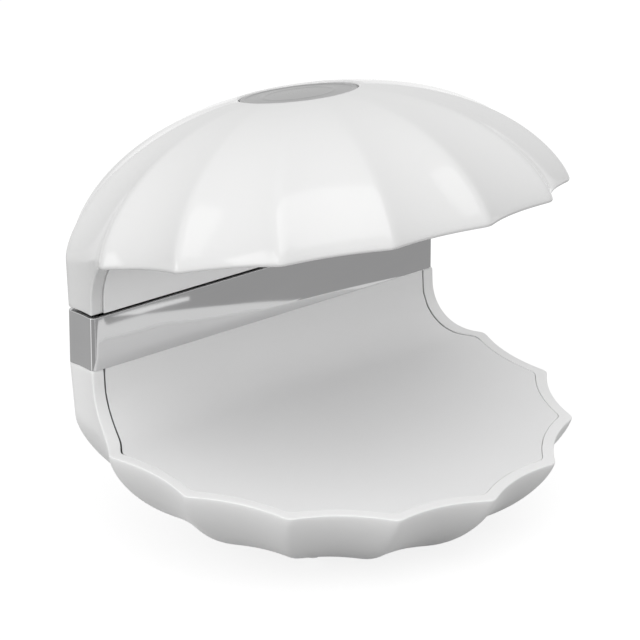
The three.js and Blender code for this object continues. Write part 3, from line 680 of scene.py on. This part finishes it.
# Finishes, each with its shades, its roughness, its noises, and its bump's height and strength
# The dome's copy of the shells' white is darker than the bowl's: its gloss and coat are its own finish, its
# lower tone is painted shade that tones down the brightly lit dome
DOME_GLOSS_PAINTED_SHADE = plain_finish(
    "dome_gloss_painted_shade",
    (tone(0.71, WARM), tone(0.735)),
    (0.10, 0.05, 0.02),
    [(28, 3), (2600, 1), (420, 2, 0.4)],
    (0.00002, 0.35),
    IOR=1.5,
    Coat_Weight=0.1,
    Coat_Roughness=0.08,
)
SATIN = plain_finish(
    "shell_satin",
    (tone(0.81, WARM), tone(0.84)),
    (0.38, 0.08, 0.06),
    [(24, 3), (1500, 3, 0.6)],
    (0.00001, 0.5),
    IOR=1.5,
    Specular_IOR_Level=0.22,
)
CHROME = plain_finish(
    "band_chrome",
    (tone(0.69, COLD), tone(0.73, COLD)),
    (0.02, 0.03),
    [(180, 3, 0.5, (0.2, 0.2, 1.0)), (24, 1, 0.3, (1, 1, 2.2))],
    (0.0006, 0.05),
    Metallic=1.0,
)
STEEL = plain_finish(
    "screw_steel", (tone(0.40), tone(0.55)), (0.28, 0.2), [(900, 3)], (0.00002, 0.4), Metallic=1.0
)
RUBBER = plain_finish("foot_rubber", (tone(0.08), tone(0.13)), (0.75, 0.15), [(1400, 4, 0.7)], (0.00004, 0.7))
LENS_SHADES = ((0.72, 0.68, 0.86, 1), (0.80, 0.78, 0.90, 1))
LENS = plain_finish("lens_clear", LENS_SHADES, (0.06, 0.06), [(500, 2)], IOR=1.45, Coat_Weight=0.5)
DISC = button_chrome()
# One lining grey in two copies: the tray's is a little darker, painted shade, and the ceiling's is lighter,
# painted light under the dome
TRAY_GREY_PAINTED_SHADE = satin("tray_satin_painted_shade", 0.77, 0.80)
CEILING_GREY_PAINTED_LIGHT = satin("ceiling_satin_painted_light", 0.87, 0.90)
GREEN_BOARD = board_finish("board_green", (0.03, 0.16, 0.07, 1), (0.09, 0.30, 0.14, 1))
WHITE_BOARD = board_finish("board_white", (0.70, 0.72, 0.68, 1), (0.60, 0.60, 0.55, 1))
BLACK = plastic("black_plastic", tone(0.02), tone(0.035), 0.45)
DARK = plastic("coil_dark", tone(0.035), tone(0.06), 0.6)
# Dark plastic of the strips of painted shade that stand in the grooves beside the tray
GROOVE_PAINTED_SHADE = plastic("groove_painted_shade", tone(0.15), tone(0.18), 0.7)
RED = plastic("lead_red", (0.10, 0.012, 0.010, 1), (0.14, 0.018, 0.014, 1), 0.5)


# The two shells

# Rounding of the bowl's flat underside, and how far over it the rounding reaches
BASE_ROUND = 0.35
BASE_REACH = 4.0

# The button's seat in the dome, and the hole for its stem
SEAT_DEPTH = 2.7
SEAT_RING_SHARE = 0.6
STEM_HOLE = 2.6
STEM_HOLE_DEPTH = 1.6


def shell_piece(name, half, material, node):
    """One shell, made of its columns and their mirror image, the dome with the button's seat."""
    columns = shell_columns(half)
    ring = np.concatenate([columns, columns[-2:0:-1] * (-1, 1, 1)])
    ring[..., 1] += SHIFT
    if half.side < 0:
        flatten_base(ring)
    count, rows = ring.shape[:2]
    points = ring.transpose(1, 0, 2).reshape(-1, 3) * MM
    faces = grid_faces(rows, count, closed=True)
    if half.side > 0:
        seat = seat_rings(ring[:, 0])
        start = len(points)
        points = np.concatenate([points, seat.reshape(-1, 3) * MM])
        faces += join_rings(0, start, count)
        faces += grid_faces(len(seat), count, start, closed=True)
        faces += join_rings((rows - 1) * count, start + (len(seat) - 1) * count, count)
    obj = make_object(name, points, faces)
    tidy_mesh(obj, 1e-7)
    return settle(obj, "housing", "shell_white", material, node)


def flatten_base(ring):
    """Gives the bowl a flat underside with a rounded edge, and its inside a floor over that."""
    outer = ring[:, :DOME_ROWS, 2]
    over = np.minimum(outer - BASE, BASE_REACH)
    lifted = BASE + BASE_ROUND * np.log1p(np.exp(over / BASE_ROUND))
    ring[:, :DOME_ROWS, 2] = np.where(outer < BASE + BASE_REACH, lifted, outer)
    inner = ring[:, -INNER_ROWS:, 2]
    ring[:, -INNER_ROWS:, 2] = np.maximum(inner, BASE + BASE_WALL)


def seat_rings(mouth):
    """Eased mouth, wall and floor of the button's seat, one ring of points after another."""
    seat = BUTTON_RADIUS + BUTTON_GAP
    y, z = mouth[:, 1] - SHIFT - UPPER.shift, mouth[:, 2] - UPPER.rim
    rise = y * UPPER.sin + z * UPPER.cos
    turns = np.arctan2(y * UPPER.cos - z * UPPER.sin - UPPER.crown, mouth[:, 0])
    rings = [(seat + MOUTH_EASE * out, rise - MOUTH_EASE * down) for out, down in quarter_round(5)[1:]]
    floor_rise = np.full(len(rise), UPPER.height - BUTTON_SINK - SEAT_DEPTH)
    rings += [(seat, floor_rise), (seat * SEAT_RING_SHARE, floor_rise)]
    rings += [(STEM_HOLE, floor_rise), (STEM_HOLE, floor_rise - STEM_HOLE_DEPTH)]
    made = []
    for radius, height in rings:
        ring = UPPER.place(radius * np.cos(turns), UPPER.crown + radius * np.sin(turns), height)
        ring[:, 1] += SHIFT
        made.append(ring)
    return np.array(made)


# Smooth sheets that follow the side curve of the hand space


class Sweep:
    """The hand space's face over one shell, unrolled: x across, and the way along from the band's edge."""

    def __init__(self, half):
        self.half = half
        self.upright = abs(half.arc_z - half.edge)
        self.arc = SWEEP * (math.pi / 2 - math.atan2(half.sin, half.cos))
        self.foot = np.array([half.arc_y, half.arc_z]) + SWEEP * np.array([half.sin, half.side * half.cos])

    def way(self, y):
        """Way along the face to a depth in front of the upright part."""
        half = self.half
        if y > self.foot[0]:
            turn = math.acos(min(1.0, (y - half.arc_y) / SWEEP))
            return self.upright + SWEEP * turn
        return self.upright + self.arc + (self.foot[0] - y) / half.cos

    def point(self, x, way, depth):
        half = self.half
        if way < self.upright:
            y = BACK_WALL + depth
            z = half.edge + half.side * way
        elif way < self.upright + self.arc:
            turn = (way - self.upright) / SWEEP
            y = half.arc_y + (SWEEP + depth) * math.cos(turn)
            z = half.arc_z + half.side * (SWEEP + depth) * math.sin(turn)
        else:
            far = way - self.upright - self.arc
            y = self.foot[0] + depth * half.sin - far * half.cos
            z = self.foot[1] + half.side * (depth * half.cos + far * half.sin)
        return (x * MM, (y + SHIFT) * MM, z * MM)


def loop_normals(loop):
    """Unit normals to the left of a closed run of points, at its points."""
    ahead = np.roll(loop, -1, 0) - loop
    ahead /= np.linalg.norm(ahead, axis=1)[:, None]
    along = ahead + np.roll(ahead, 1, 0)
    along /= np.linalg.norm(along, axis=1)[:, None]
    return np.stack([-along[:, 1], along[:, 0]], -1)


# Points of a lining's outline: to a flute, up the side in millimetres, and across the top
LINING_FLUTE_POINTS = 30
LINING_SPACING = 1.2
LINING_TOP_POINTS = 60
LINING_TOP_INSET = 0.1
LEAST_UPRIGHT = 0.05


def lining_loop(sweep, groove):
    """Closed outline of a lining on the unrolled face, run so that the lining is to its left."""
    half = sweep.half
    places = crowded(0, SIDE_RIDGE + 1, (SIDE_RIDGE + 1) * LINING_FLUTE_POINTS)
    flat = inner_plan(places, groove)
    world = half.place(flat[:, 0], flat[:, 1], 0 * flat[:, 0])
    right = []
    for x, y, place in zip(flat[:, 0], world[:, 1], places):
        if y > sweep.foot[0]:
            for _ in range(4):
                rise = math.sqrt(max(0.0, SWEEP**2 - (y - half.arc_y) ** 2))
                x, y, _ = skirt_point(half, place, half.arc_z + half.side * rise, True, groove)
        if y > BACK_WALL - LEAST_UPRIGHT:
            break
        right.append((x, sweep.way(y)))
    steps = max(2, int(sweep.upright / LINING_SPACING))
    for i in range(1, steps):
        way = sweep.upright * (1 - i / steps)
        z = half.edge + half.side * way
        place = place_at_depth(half, BACK_WALL, z, True, groove)
        right.append((float(skirt_point(half, place, z, True, groove)[0]), way))
    top_x = right[-1][0] - LINING_TOP_INSET
    right.append((top_x, 0.0))
    turns = range(2, LINING_TOP_POINTS - 1)
    across = [(top_x * (1 - 2 * i / LINING_TOP_POINTS), 0.0) for i in turns]
    left = [(-x, way) for x, way in right[1:][::-1]]
    return np.array(right + across + left)[::-1]


# A plate's face: the border inside its eased edge, the grid of points on it, and the least way between them
SHEET_BORDER = 0.25
SHEET_GRID = 2.4
SHEET_FIRST_ROW = 0.7
SHEET_SPACING = 0.8


def sheet(name, sweep, outer, holes, drop):
    """A smooth plate with eased edges and holes, laid out on the unrolled face and carried to its place."""
    loops = [outer, *holes]
    border = LINING_EASE + SHEET_BORDER
    kept, faces = sheet_face([loop + loop_normals(loop) * border for loop in loops], outer)
    points = [sweep.point(x, way, drop) for x, way in kept]
    rounded = [(LINING_EASE * out, drop + LINING_EASE * down) for out, down in quarter_round(4)]
    levels = [(border, drop), *rounded, (0.0, LINING)]
    for loop in loops:
        normals = loop_normals(loop)
        start = len(points)
        for inset, depth in levels:
            points += [sweep.point(x, way, depth) for x, way in loop + inset * normals]
        faces += grid_faces(len(levels), len(loop), start, closed=True)
    obj = make_object(name, points, faces)
    tidy_mesh(obj, 2e-6)
    return obj


def sheet_face(loops, outer):
    """Points and faces that fill an outline with holes, on a grid that keeps off the outline."""
    flat = np.concatenate(loops)
    edges, start = [], 0
    for loop in loops:
        edges += [(start + i, start + (i + 1) % len(loop)) for i in range(len(loop))]
        start += len(loop)
    low, high = outer.min(0), outer.max(0)
    inside = [
        (x, y)
        for x in np.arange(low[0] + SHEET_GRID, high[0], SHEET_GRID)
        for y in np.arange(low[1] + SHEET_FIRST_ROW, high[1], SHEET_GRID)
        if min(np.hypot(*(flat - (x, y)).T)) > SHEET_SPACING
    ]
    kept, _, faces = delaunay_2d_cdt([Vector(p) for p in [*flat, *inside]], edges, [], 1, 1e-5)[:3]
    is_inside = make_inside_test(loops)
    middles = [sum((kept[i] for i in face), Vector((0, 0))) / len(face) for face in faces]
    return kept, [tuple(face) for face, middle in zip(faces, middles) if is_inside(middle)]


def make_inside_test(loops):
    """A test of a point against an outline with holes, by counting the edges to its right."""
    starts = np.concatenate(loops)
    ends = np.concatenate([np.roll(loop, -1, 0) for loop in loops])

    def inside(spot):
        crossed = (starts[:, 1] > spot[1]) != (ends[:, 1] > spot[1])
        a, b = starts[crossed], ends[crossed]
        x = a[:, 0] + (spot[1] - a[:, 1]) * (b[:, 0] - a[:, 0]) / (b[:, 1] - a[:, 1])
        return int((x > spot[0]).sum()) % 2 == 1

    return inside


def circle_loop(x, way, radius, steps=40):
    """A round hole, run so that the plate is to its left."""
    turns = -np.linspace(0, 2 * math.pi, steps, endpoint=False)
    return np.stack([x + radius * np.cos(turns), way + radius * np.sin(turns)], -1)


# Rings of lamps: how many, how far they spread as shares of their board, and the first one's turn
LAMP_BOARD = (HALF_WIDTH * 0.677, HALF_DEPTH * 0.465)
LAMP_SET_FORWARD = HALF_DEPTH * 0.207
LAMP_RING_SHARES = ((8, 0.75, 0.67, math.pi / 8), (4, 0.3, 0.3, 0.0))
LAMP_WINDOW = 3.0


def lamp_spots():
    wide, deep = LAMP_BOARD
    spots = []
    for count, share_x, share_y, start in LAMP_RING_SHARES:
        for turn in (start + 2 * math.pi * i / count for i in range(count)):
            y = deep * share_y * math.sin(turn) - LAMP_SET_FORWARD
            spots.append((wide * share_x * math.cos(turn), y))
    return spots


# Dark strips of painted shade in the grooves beside the tray: their rows, their edges under the faces, and
# where they begin
GROOVE_ROWS = np.linspace(TRAY_DROP + 0.02, LINING - 0.05, 4)
GROOVE_SET = 0.06
GROOVE_LEAST_X = 20


def linings():
    tray_face = Sweep(LOWER)
    outline = lining_loop(tray_face, GROOVE)
    tray = sheet("tray_sheet", tray_face, outline, [], TRAY_DROP)
    settle(tray, "housing", "lining_grey", TRAY_GREY_PAINTED_SHADE, "lower_tray")
    side_way = tray_face.way(float(LOWER.place(*plan(float(SIDE_RIDGE)), 0.0)[1]))
    for number, side in enumerate((-1, 1)):
        # Each side gets a dark strip just past the tray's edge: painted shade where the groove lies in shadow
        run = outline[(outline[:, 1] < side_way) & (outline[:, 0] * side > GROOVE_LEAST_X)]
        spots = [(x + side * GROOVE_SET, way, depth) for depth in GROOVE_ROWS for x, way in run]
        points = [tray_face.point(*spot) for spot in spots]
        edge = make_object(f"painted_shade_strip_{number + 1}", points, grid_faces(len(GROOVE_ROWS), len(run)))
        settle(edge, "housing", "lining_grey", GROOVE_PAINTED_SHADE)
    ceiling_face = Sweep(UPPER)
    outline = lining_loop(ceiling_face, GROOVE)
    ways = [(x, ceiling_face.way(UPPER.shift + y * UPPER.cos)) for x, y in lamp_spots()]
    windows = [circle_loop(x, way, LAMP_WINDOW) for x, way in ways]
    ceiling = sheet("ceiling_sheet", ceiling_face, outline, windows, 0.0)
    settle(ceiling, "housing", "lining_grey", CEILING_GREY_PAINTED_LIGHT, "upper_liner")


# The chrome band

# How far its top and foot reach in from its face, and the heights of its rows as shares
BAND_REACH = (1.5, 6.0)
BAND_SHARES = (0.2, 0.4, 0.6, 0.8, 0.98)
BAND_FRONT_POINTS = 60
BAND_CORNER_STEPS = 12


def band_loop():
    """Plan of the band: the fluted back, and a straight front with rounded corners."""
    back = plan(crowded(SIDE_RIDGE, RIDGES - SIDE_RIDGE, (RIDGES - 2 * SIDE_RIDGE) * FLUTE_COLUMNS))
    wall = back[back[:, 1] > BACK_WALL + BAND_CORNER]
    right = plan(place_at_depth(LOWER, BACK_WALL, BAND_LOW))
    corner = np.array(eased(right, right * (-1, 1), wall[0], BAND_CORNER, BAND_CORNER_STEPS))
    across = np.linspace(-corner[0][0], corner[0][0], BAND_FRONT_POINTS)[1:-1]
    front = np.array([[x, BACK_WALL] for x in across])
    return np.concatenate([corner, wall[1:-1], corner[::-1] * (-1, 1), front])


def band():
    """A ring of rows, each given as how far it lies in from the plan and its height."""
    loop = band_loop()
    normals = loop_normals(loop)
    low, high = BAND_LOW + FOOT_SEAM, BAND_HIGH
    near, far = BAND_REACH
    foot = [(BAND_FOOT_EASE * out, low + BAND_FOOT_EASE * up) for out, up in quarter_round(4)]
    face = [(0.0, low + (high - low) * share) for share in BAND_SHARES]
    top = [(BAND_TOP_EASE * out, high - BAND_TOP_EASE * down) for out, down in quarter_round(4)[::-1]]
    rows = [(far, low), (near, low), *foot, *face, *top, (near, high), (far, high)]
    points = []
    for inset, z in rows:
        points += [(x * MM, (y + SHIFT) * MM, z * MM) for x, y in loop + inset * normals]
    obj = make_object("band_ring", points, grid_faces(len(rows), len(loop), closed=True))
    tidy_mesh(obj)
    settle(obj, "housing", "bright_chrome", CHROME, "back_band")


# The button in the crown

# Its lip as ways in from the edge and heights over it, how its corners are rounded, and its dish and ring
LIP = [(1.1, 0.02), (1.35, -0.12), (1.75, -0.1)]
LIP_ROUNDS = [0, 0.1, 0.3, 0.15, 0.1, 0]
DISH_RISE = 0.28
RING_RADIUS = 8.6
RING_WIDTH = 0.42
RING_RISE = 0.12


def button():
    top = UPPER.height - BUTTON_SINK
    under = top - BUTTON_THICK
    lip = [(BUTTON_RADIUS - way, top + height) for way, height in LIP]
    corners = [(0, under), (BUTTON_RADIUS, under), (BUTTON_RADIUS, top), *lip]
    profile = rounded_profile(corners, LIP_ROUNDS)
    dish_radius, dish_edge = profile[-1]
    for share in np.linspace(1, 0, 40)[1:]:
        radius = dish_radius * share
        ring = RING_RISE * math.exp(-(((radius - RING_RADIUS) / RING_WIDTH) ** 2))
        profile.append((radius, dish_edge + DISH_RISE * (1 - share**2) + ring))
    profile = [(radius, height - top) for radius, height in profile]
    obj = turned("button_disc", profile, 144)
    sharpen(obj, 60)
    seat_on_shell(obj, 0, UPPER.crown, top)
    settle(obj, "button", "bright_chrome", DISC, "timer_button")


# Lamps, screws, feet

LENS_RADIUS = 2.5
LENS_LENGTH = 2.6
LENS_BARREL_SHARE = 0.45


def lens_pieces():
    barrel = LENS_LENGTH * LENS_BARREL_SHARE
    profile = [(0, 0), (LENS_RADIUS, 0), (LENS_RADIUS, barrel)]
    for t in np.linspace(0, math.pi / 2, 10)[1:]:
        profile.append((LENS_RADIUS * math.cos(t), barrel + (LENS_LENGTH - barrel) * math.sin(t)))
    bottom = LINING + BOARD_LIFT - GAP
    for i, (x, y) in enumerate(lamp_spots()):
        obj = turned(f"lamp_dome_{i + 1}", profile, 40)
        sharpen(obj, 60)
        seat_on_shell(obj, x, y, bottom, hanging=True)
        settle(obj, "housing", "lens_clear", LENS, f"lamp_lens_{i + 1}")


# Radius and height of a screw's points from its tip to its head, and how each corner is rounded
SCREW_HEAD = 1.3
SCREW_TIP = [(0, -5.7), (0.8, -4.9), (0.8, 0)]
SCREW_PROFILE = [*SCREW_TIP, (2.1, 0), (2.1, 0.45), (1.8, 0.95), (1.1, 1.25), (0, SCREW_HEAD)]
SCREW_ROUNDS = [0, 0, 0, 0.1, 0.15, 0.2, 0.2, 0]

# Half the length and width of one arm of the cross in a head, and the heights that it cuts between
CROSS_HALF = (1.25, 0.25)
CROSS_HEIGHTS = (0.55, 2.0)

# Places of the screws and the feet
LINER_SCREWS = [
    (-HALF_WIDTH * 0.77, -HALF_DEPTH * 0.17),
    (HALF_WIDTH * 0.77, -HALF_DEPTH * 0.17),
    (0.0, -HALF_DEPTH * 0.775),
]
BASE_SCREWS = [(x * HALF_WIDTH, y * HALF_DEPTH) for y in (-0.38, 0.17) for x in (-0.385, 0.385)]
FEET = [(x * HALF_WIDTH, y * HALF_DEPTH) for y in (-0.24, 0.225) for x in (-0.215, 0.215)]


def screw_mesh(name):
    """Round-headed screw with a cross in its head."""
    obj = turned(name, rounded_profile(SCREW_PROFILE, SCREW_ROUNDS), 40)
    (length, width), (low, high) = CROSS_HALF, CROSS_HEIGHTS
    for turn in (0, math.pi / 2):
        blade = make_object("blade", *block((-length, -width, low), (length, width, high)), smooth=False)
        blade.matrix_world = Matrix.Rotation(turn, 4, "Z")
        cut(obj, blade)
    sharpen(obj, 35)
    return obj


def block(low, high):
    xs, ys, zs = zip(low, high)
    corners = [(x * MM, y * MM, z * MM) for z in zs for y in ys for x in xs]
    faces = [(0, 2, 3, 1), (4, 5, 7, 6), (0, 1, 5, 4), (2, 6, 7, 3), (0, 4, 6, 2), (1, 3, 7, 5)]
    return corners, faces


def screws():
    for i, (x, y) in enumerate(LINER_SCREWS):
        obj = screw_mesh(f"ceiling_screw_{i + 1}")
        seat_on_shell(obj, x, y, -GAP, hanging=True)
        settle(obj, "housing", "screw_steel", STEEL, f"liner_screw_{i + 1}")
    for i, (x, y) in enumerate(BASE_SCREWS):
        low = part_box(f"base_screw_{i + 1}")[0][2]
        obj = screw_mesh(f"bottom_screw_{i + 1}")
        obj.data.transform(Matrix.Rotation(math.pi, 4, "X"))
        obj.location = (x * MM, (y + SHIFT) * MM, low + SCREW_HEAD * MM)
        settle(obj, "housing", "screw_steel", STEEL, f"base_screw_{i + 1}")


# Radius and height of a foot's points, and how each corner is rounded
FOOT_RADIUS = 4.2
FOOT_HEIGHT = 1.9
FOOT_SOLE = [(0, 0.05), (3.2, 0.05), (3.35, 0)]
FOOT_PROFILE = [*FOOT_SOLE, (FOOT_RADIUS, 0), (FOOT_RADIUS, FOOT_HEIGHT), (0, FOOT_HEIGHT)]
FOOT_ROUNDS = [0, 0.1, 0.05, 0.45, 0.1, 0]


def feet():
    profile = rounded_profile(FOOT_PROFILE, FOOT_ROUNDS)
    for i, (x, y) in enumerate(FEET):
        obj = turned(f"rubber_foot_{i + 1}", profile, 64)
        obj.matrix_world = Matrix.Translation((x * MM, (y + SHIFT) * MM, 0))
        sharpen(obj, 60)
        settle(obj, "housing", "foot_rubber", RUBBER, f"foot_{i + 1}")


# Seats in the underside, and the inlet's mouth and hole: half width, half height and where each starts
FOOT_SEAT = (FOOT_RADIUS + GAP, BASE + 1.0)
SCREW_SEAT_RADIUS = 2.8
BELOW_BASE = 1.0
INLET_OPENINGS = ((6.5, 3.3, 0.0), (4.8, 1.95, -3.0))
PAST_BACK = 70.0


def cut_seat(shell, x, y, radius, bottom, top, steps):
    """Takes a round seat out of the underside."""
    tool = turned("seat", [(0, bottom), (radius, bottom), (radius, top), (0, top)], steps)
    tool.matrix_world = Matrix.Translation((x * MM, (y + SHIFT) * MM, 0))
    cut(shell, tool)


def open_base(shell):
    """Seats of the feet and the screws in the bowl's flat underside, and the inlet's mouth at the back."""
    for x, y in FEET:
        cut_seat(shell, x, y, FOOT_SEAT[0], -BELOW_BASE, FOOT_SEAT[1], 48)
    for i, (x, y) in enumerate(BASE_SCREWS):
        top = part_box(f"base_screw_{i + 1}")[0][2] / MM + SCREW_HEAD + GAP
        cut_seat(shell, x, y, SCREW_SEAT_RADIUS, -2 * BELOW_BASE, top, 40)
    low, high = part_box("power_inlet")
    middle = (low[2] + high[2]) / 2
    for half_width, half_tall, start in INLET_OPENINGS:
        cut(shell, slot_block(half_width, half_tall, high[1] / MM + start, PAST_BACK, middle / MM))
    sharpen(shell, 40)


SLOT_END_POINTS = 24


def slot_block(half_width, half_tall, start, end, middle):
    """A round-ended slot that runs along y."""
    loop = []
    for i in range(SLOT_END_POINTS):
        turn = -math.pi / 2 + math.pi * i / (SLOT_END_POINTS - 1)
        loop.append((half_width - half_tall + half_tall * math.cos(turn), half_tall * math.sin(turn)))
    loop += [(-x, -z) for x, z in loop]
    points = [(x * MM, y * MM, (z + middle) * MM) for y in (start, end) for x, z in loop]
    n = len(loop)
    faces = [tuple(range(n)), tuple(range(2 * n - 1, n - 1, -1))]
    faces += [(j, n + j, n + (j + 1) % n, (j + 1) % n) for j in range(n)]
    return make_object("slot", points, faces, smooth=False)


# Solids that keep their own shape and only take a finish

KEPT = {
    "power_inlet": STEEL,
    "lamp_board": WHITE_BOARD,
    "button_board": GREEN_BOARD,
    "driver_board": GREEN_BOARD,
    "tact_switch": BLACK,
    "switch_plunger": BLACK,
    "tie_post_left": BLACK,
    "tie_post_right": BLACK,
    "driver_chip": BLACK,
    "driver_coil": DARK,
    "driver_capacitor_1": DARK,
    "driver_capacitor_2": DARK,
    "lamp_lead": RED,
}


def finish_kept():
    for name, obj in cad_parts.items():
        material = KEPT.get(name, STEEL if "screw" in name else None)
        if material is not None:
            obj.data.materials.clear()
            obj.data.materials.append(material)


# Camera, floor and light

# The view that was fitted to the photo, and the turn round the lamp at which its camera stands
YAW = math.radians(44.09)
PITCH = math.radians(19.0)
LENS_AND_SENSOR = (212.0, 36)
CAMERA_PLACE = (-0.6090, -0.6274 + SHIFT * MM, 0.3516)
CAMERA_TURN = 225.9


def camera():
    data = bpy.data.cameras.new("camera")
    data.lens, data.sensor_width = LENS_AND_SENSOR
    obj = bpy.data.objects.new("camera", data)
    obj.location = CAMERA_PLACE
    obj.rotation_euler = (math.pi / 2 - PITCH, 0, -YAW)
    bpy.context.scene.collection.objects.link(obj)
    bpy.context.scene.camera = obj


# The floor: half its width, and the middle and the tones of the patch of painted shade under the lamp
FLOOR_HALF = 6.0
PAINTED_SHADE_MIDDLE = (0.0086, -0.0084, 0)
PAINTED_SHADE_STOPS = [(0.20, tone(0.03)), (0.33, tone(0.37))]


def floor():
    """White ground with a faint shadow for the camera, gloss and glass, and for other light a dimmer one,
    darkest under the lamp with painted shade.
    """
    size = FLOOR_HALF
    corners = [(-size, -size, 0), (size, -size, 0), (size, size, 0), (-size, size, 0)]
    obj = make_object("floor", corners, [(0, 1, 2, 3)])
    f = Finish("floor_white")
    shown = f.node("LightPath", out="Is Camera Ray")
    for ray in ("Is Glossy Ray", "Is Transmission Ray"):
        shown = f.node("Math", {0: shown, 1: f.node("LightPath", out=ray)}, operation="MAXIMUM")
    reach = f.node("VectorMath", {0: f.places(), 1: PAINTED_SHADE_MIDDLE}, out="Value", operation="DISTANCE")
    # Painted shade: the ground that other light meets runs from dark under the lamp to lighter further out, a
    # painted contact shadow
    shade = f.ramp(reach * 5 + 0.04 * f.noise(9, 2), PAINTED_SHADE_STOPS)
    plain = f.node("BsdfDiffuse", {"Color": shade})
    white = f.node("Emission", {"Color": tone(1.0), "Strength": 0.84})
    lit = f.node("BsdfDiffuse", {"Color": tone(0.23)})
    both = f.node("AddShader", {0: lit, 1: white})
    mixed = f.node("MixShader", {0: shown, 1: plain, 2: both})
    f.tree.links.new(mixed.socket, f.output.inputs[0])
    obj.data.materials.append(f.material)


# A glowing card's colour, which metal and gloss show as a painted reflection
def card_finish(name, low, high):
    f = Finish(name)
    speck = f.noise(5, 2)
    card = f.node("Emission", {"Color": f.blend(speck, tone(low), tone(high)), "Strength": 1.0})
    f.tree.links.new(card.socket, f.output.inputs[0])
    return f.material


def reflection_card(name, material, start, end, edges):
    """A piece of a ring round the lamp, in degrees from the camera's side, which only metal and gloss see.

    Each edge runs from one radius and height to another.
    """
    turns = np.radians(np.linspace(start, end, int((end - start) / 2) + 12) + CAMERA_TURN)
    points = []
    for first, last in edges:
        radii = np.linspace(first[0], last[0], len(turns))
        heights = np.linspace(first[1], last[1], len(turns))
        points += [(r * math.cos(t), r * math.sin(t), z) for r, t, z in zip(radii, turns, heights)]
    obj = make_object(name, points, grid_faces(len(edges), len(turns)))
    obj.data.materials.append(material)
    obj.visible_camera = obj.visible_diffuse = obj.visible_shadow = False


# Radii and heights of the cards: wall, ground, and the thin ones just before them, in metres
WALL_CARD = 0.125
WALL_CARD_TOP = 0.052
GROUND_CARD = (0.05, 0.1249)
GROUND_CARD_HEIGHT = 0.0004
WEDGE_CARD = (0.118, 0.1247)
WEDGE_CARD_HEIGHT = 0.0006
LIP_CARD = 0.1248
LIP_CARD_TOP = 0.0046
STREAK_CARD = 0.1247
STREAK_CARD_HEIGHTS = ((-0.0019, 0.0043), (0.0003, 0.0054))


def level(radius, height):
    return (radius, height), (radius, height)


def reflection_cards():
    """Glowing cards whose colour the chrome band mirrors as painted reflections: a grey wall, a pale ground,
    and a wedge, a lip and a bright streak, a painted highlight.
    """
    grey = card_finish("card_grey", 0.38, 0.40)
    light_grey = card_finish("card_light_grey", 0.48, 0.50)
    pale = card_finish("card_pale", 0.79, 0.83)
    bright = card_finish("card_bright", 0.92, 0.96)
    ground = GROUND_CARD_HEIGHT
    wall_edges = (level(WALL_CARD, ground), level(WALL_CARD, WALL_CARD_TOP))
    walls = ((-180, -64, light_grey), (-55, 11, grey), (16, 180, grey))
    for number, (start, end, card) in enumerate(walls):
        reflection_card(f"card_wall_{number + 1}", card, start, end, wall_edges)
    reflection_card("card_floor", pale, -180, 180, [level(radius, ground) for radius in GROUND_CARD])
    wedge_edge = tuple((radius, WEDGE_CARD_HEIGHT) for radius in WEDGE_CARD)
    reflection_card("card_wedge", grey, 71, 77.2, (wedge_edge, level(GROUND_CARD[1], WEDGE_CARD_HEIGHT)))
    lip_edge = ((LIP_CARD, ground), (LIP_CARD, LIP_CARD_TOP))
    reflection_card("card_lip", pale, 77, 97.5, (level(LIP_CARD, ground), lip_edge))
    streak_edges = [tuple((STREAK_CARD, height) for height in heights) for heights in STREAK_CARD_HEIGHTS]
    reflection_card("card_streak", bright, 71.6, 82.8, streak_edges)


def softbox(name, place, target, width, height, power):
    data = bpy.data.lights.new(name, "AREA")
    data.shape = "RECTANGLE"
    data.size = width
    data.size_y = height
    data.energy = power
    obj = bpy.data.objects.new(name, data)
    obj.location = place
    obj.rotation_euler = (Vector(target) - Vector(place)).to_track_quat("-Z", "Y").to_euler()
    bpy.context.scene.collection.objects.link(obj)
    return obj


WORLD_STRENGTH = 0.73


def studio():
    world = bpy.data.worlds.new("studio")
    bpy.context.scene.world = world
    world.use_nodes = True
    colour, strength = world.node_tree.nodes["Background"].inputs[:2]
    colour.default_value = (1, 1, 1, 1)
    strength.default_value = WORLD_STRENGTH
    softbox("top_box", (-0.2, -0.36, 0.88), (0, 0, 0.05), 0.9, 0.8, power=2.8)
    front = softbox("front_box", (-0.72, -0.84, 0.36), (0, 0, 0.07), 1.5, 0.7, power=2.7)
    front.visible_glossy = False
    softbox("left_box", (-1.05, 0.05, 0.32), (0, 0, 0.07), 0.6, 0.5, power=2.2)
    reflection_cards()


shell_piece("dome_shell", UPPER, DOME_GLOSS_PAINTED_SHADE, "upper_shell")
bowl = shell_piece("bowl_shell", LOWER, SATIN, "lower_shell")
open_base(bowl)
linings()
band()
button()
lens_pieces()
screws()
feet()
finish_kept()
camera()
floor()
studio()

bpy.context.scene.view_settings.view_transform = "Standard"

bpy.context.view_layer.update()
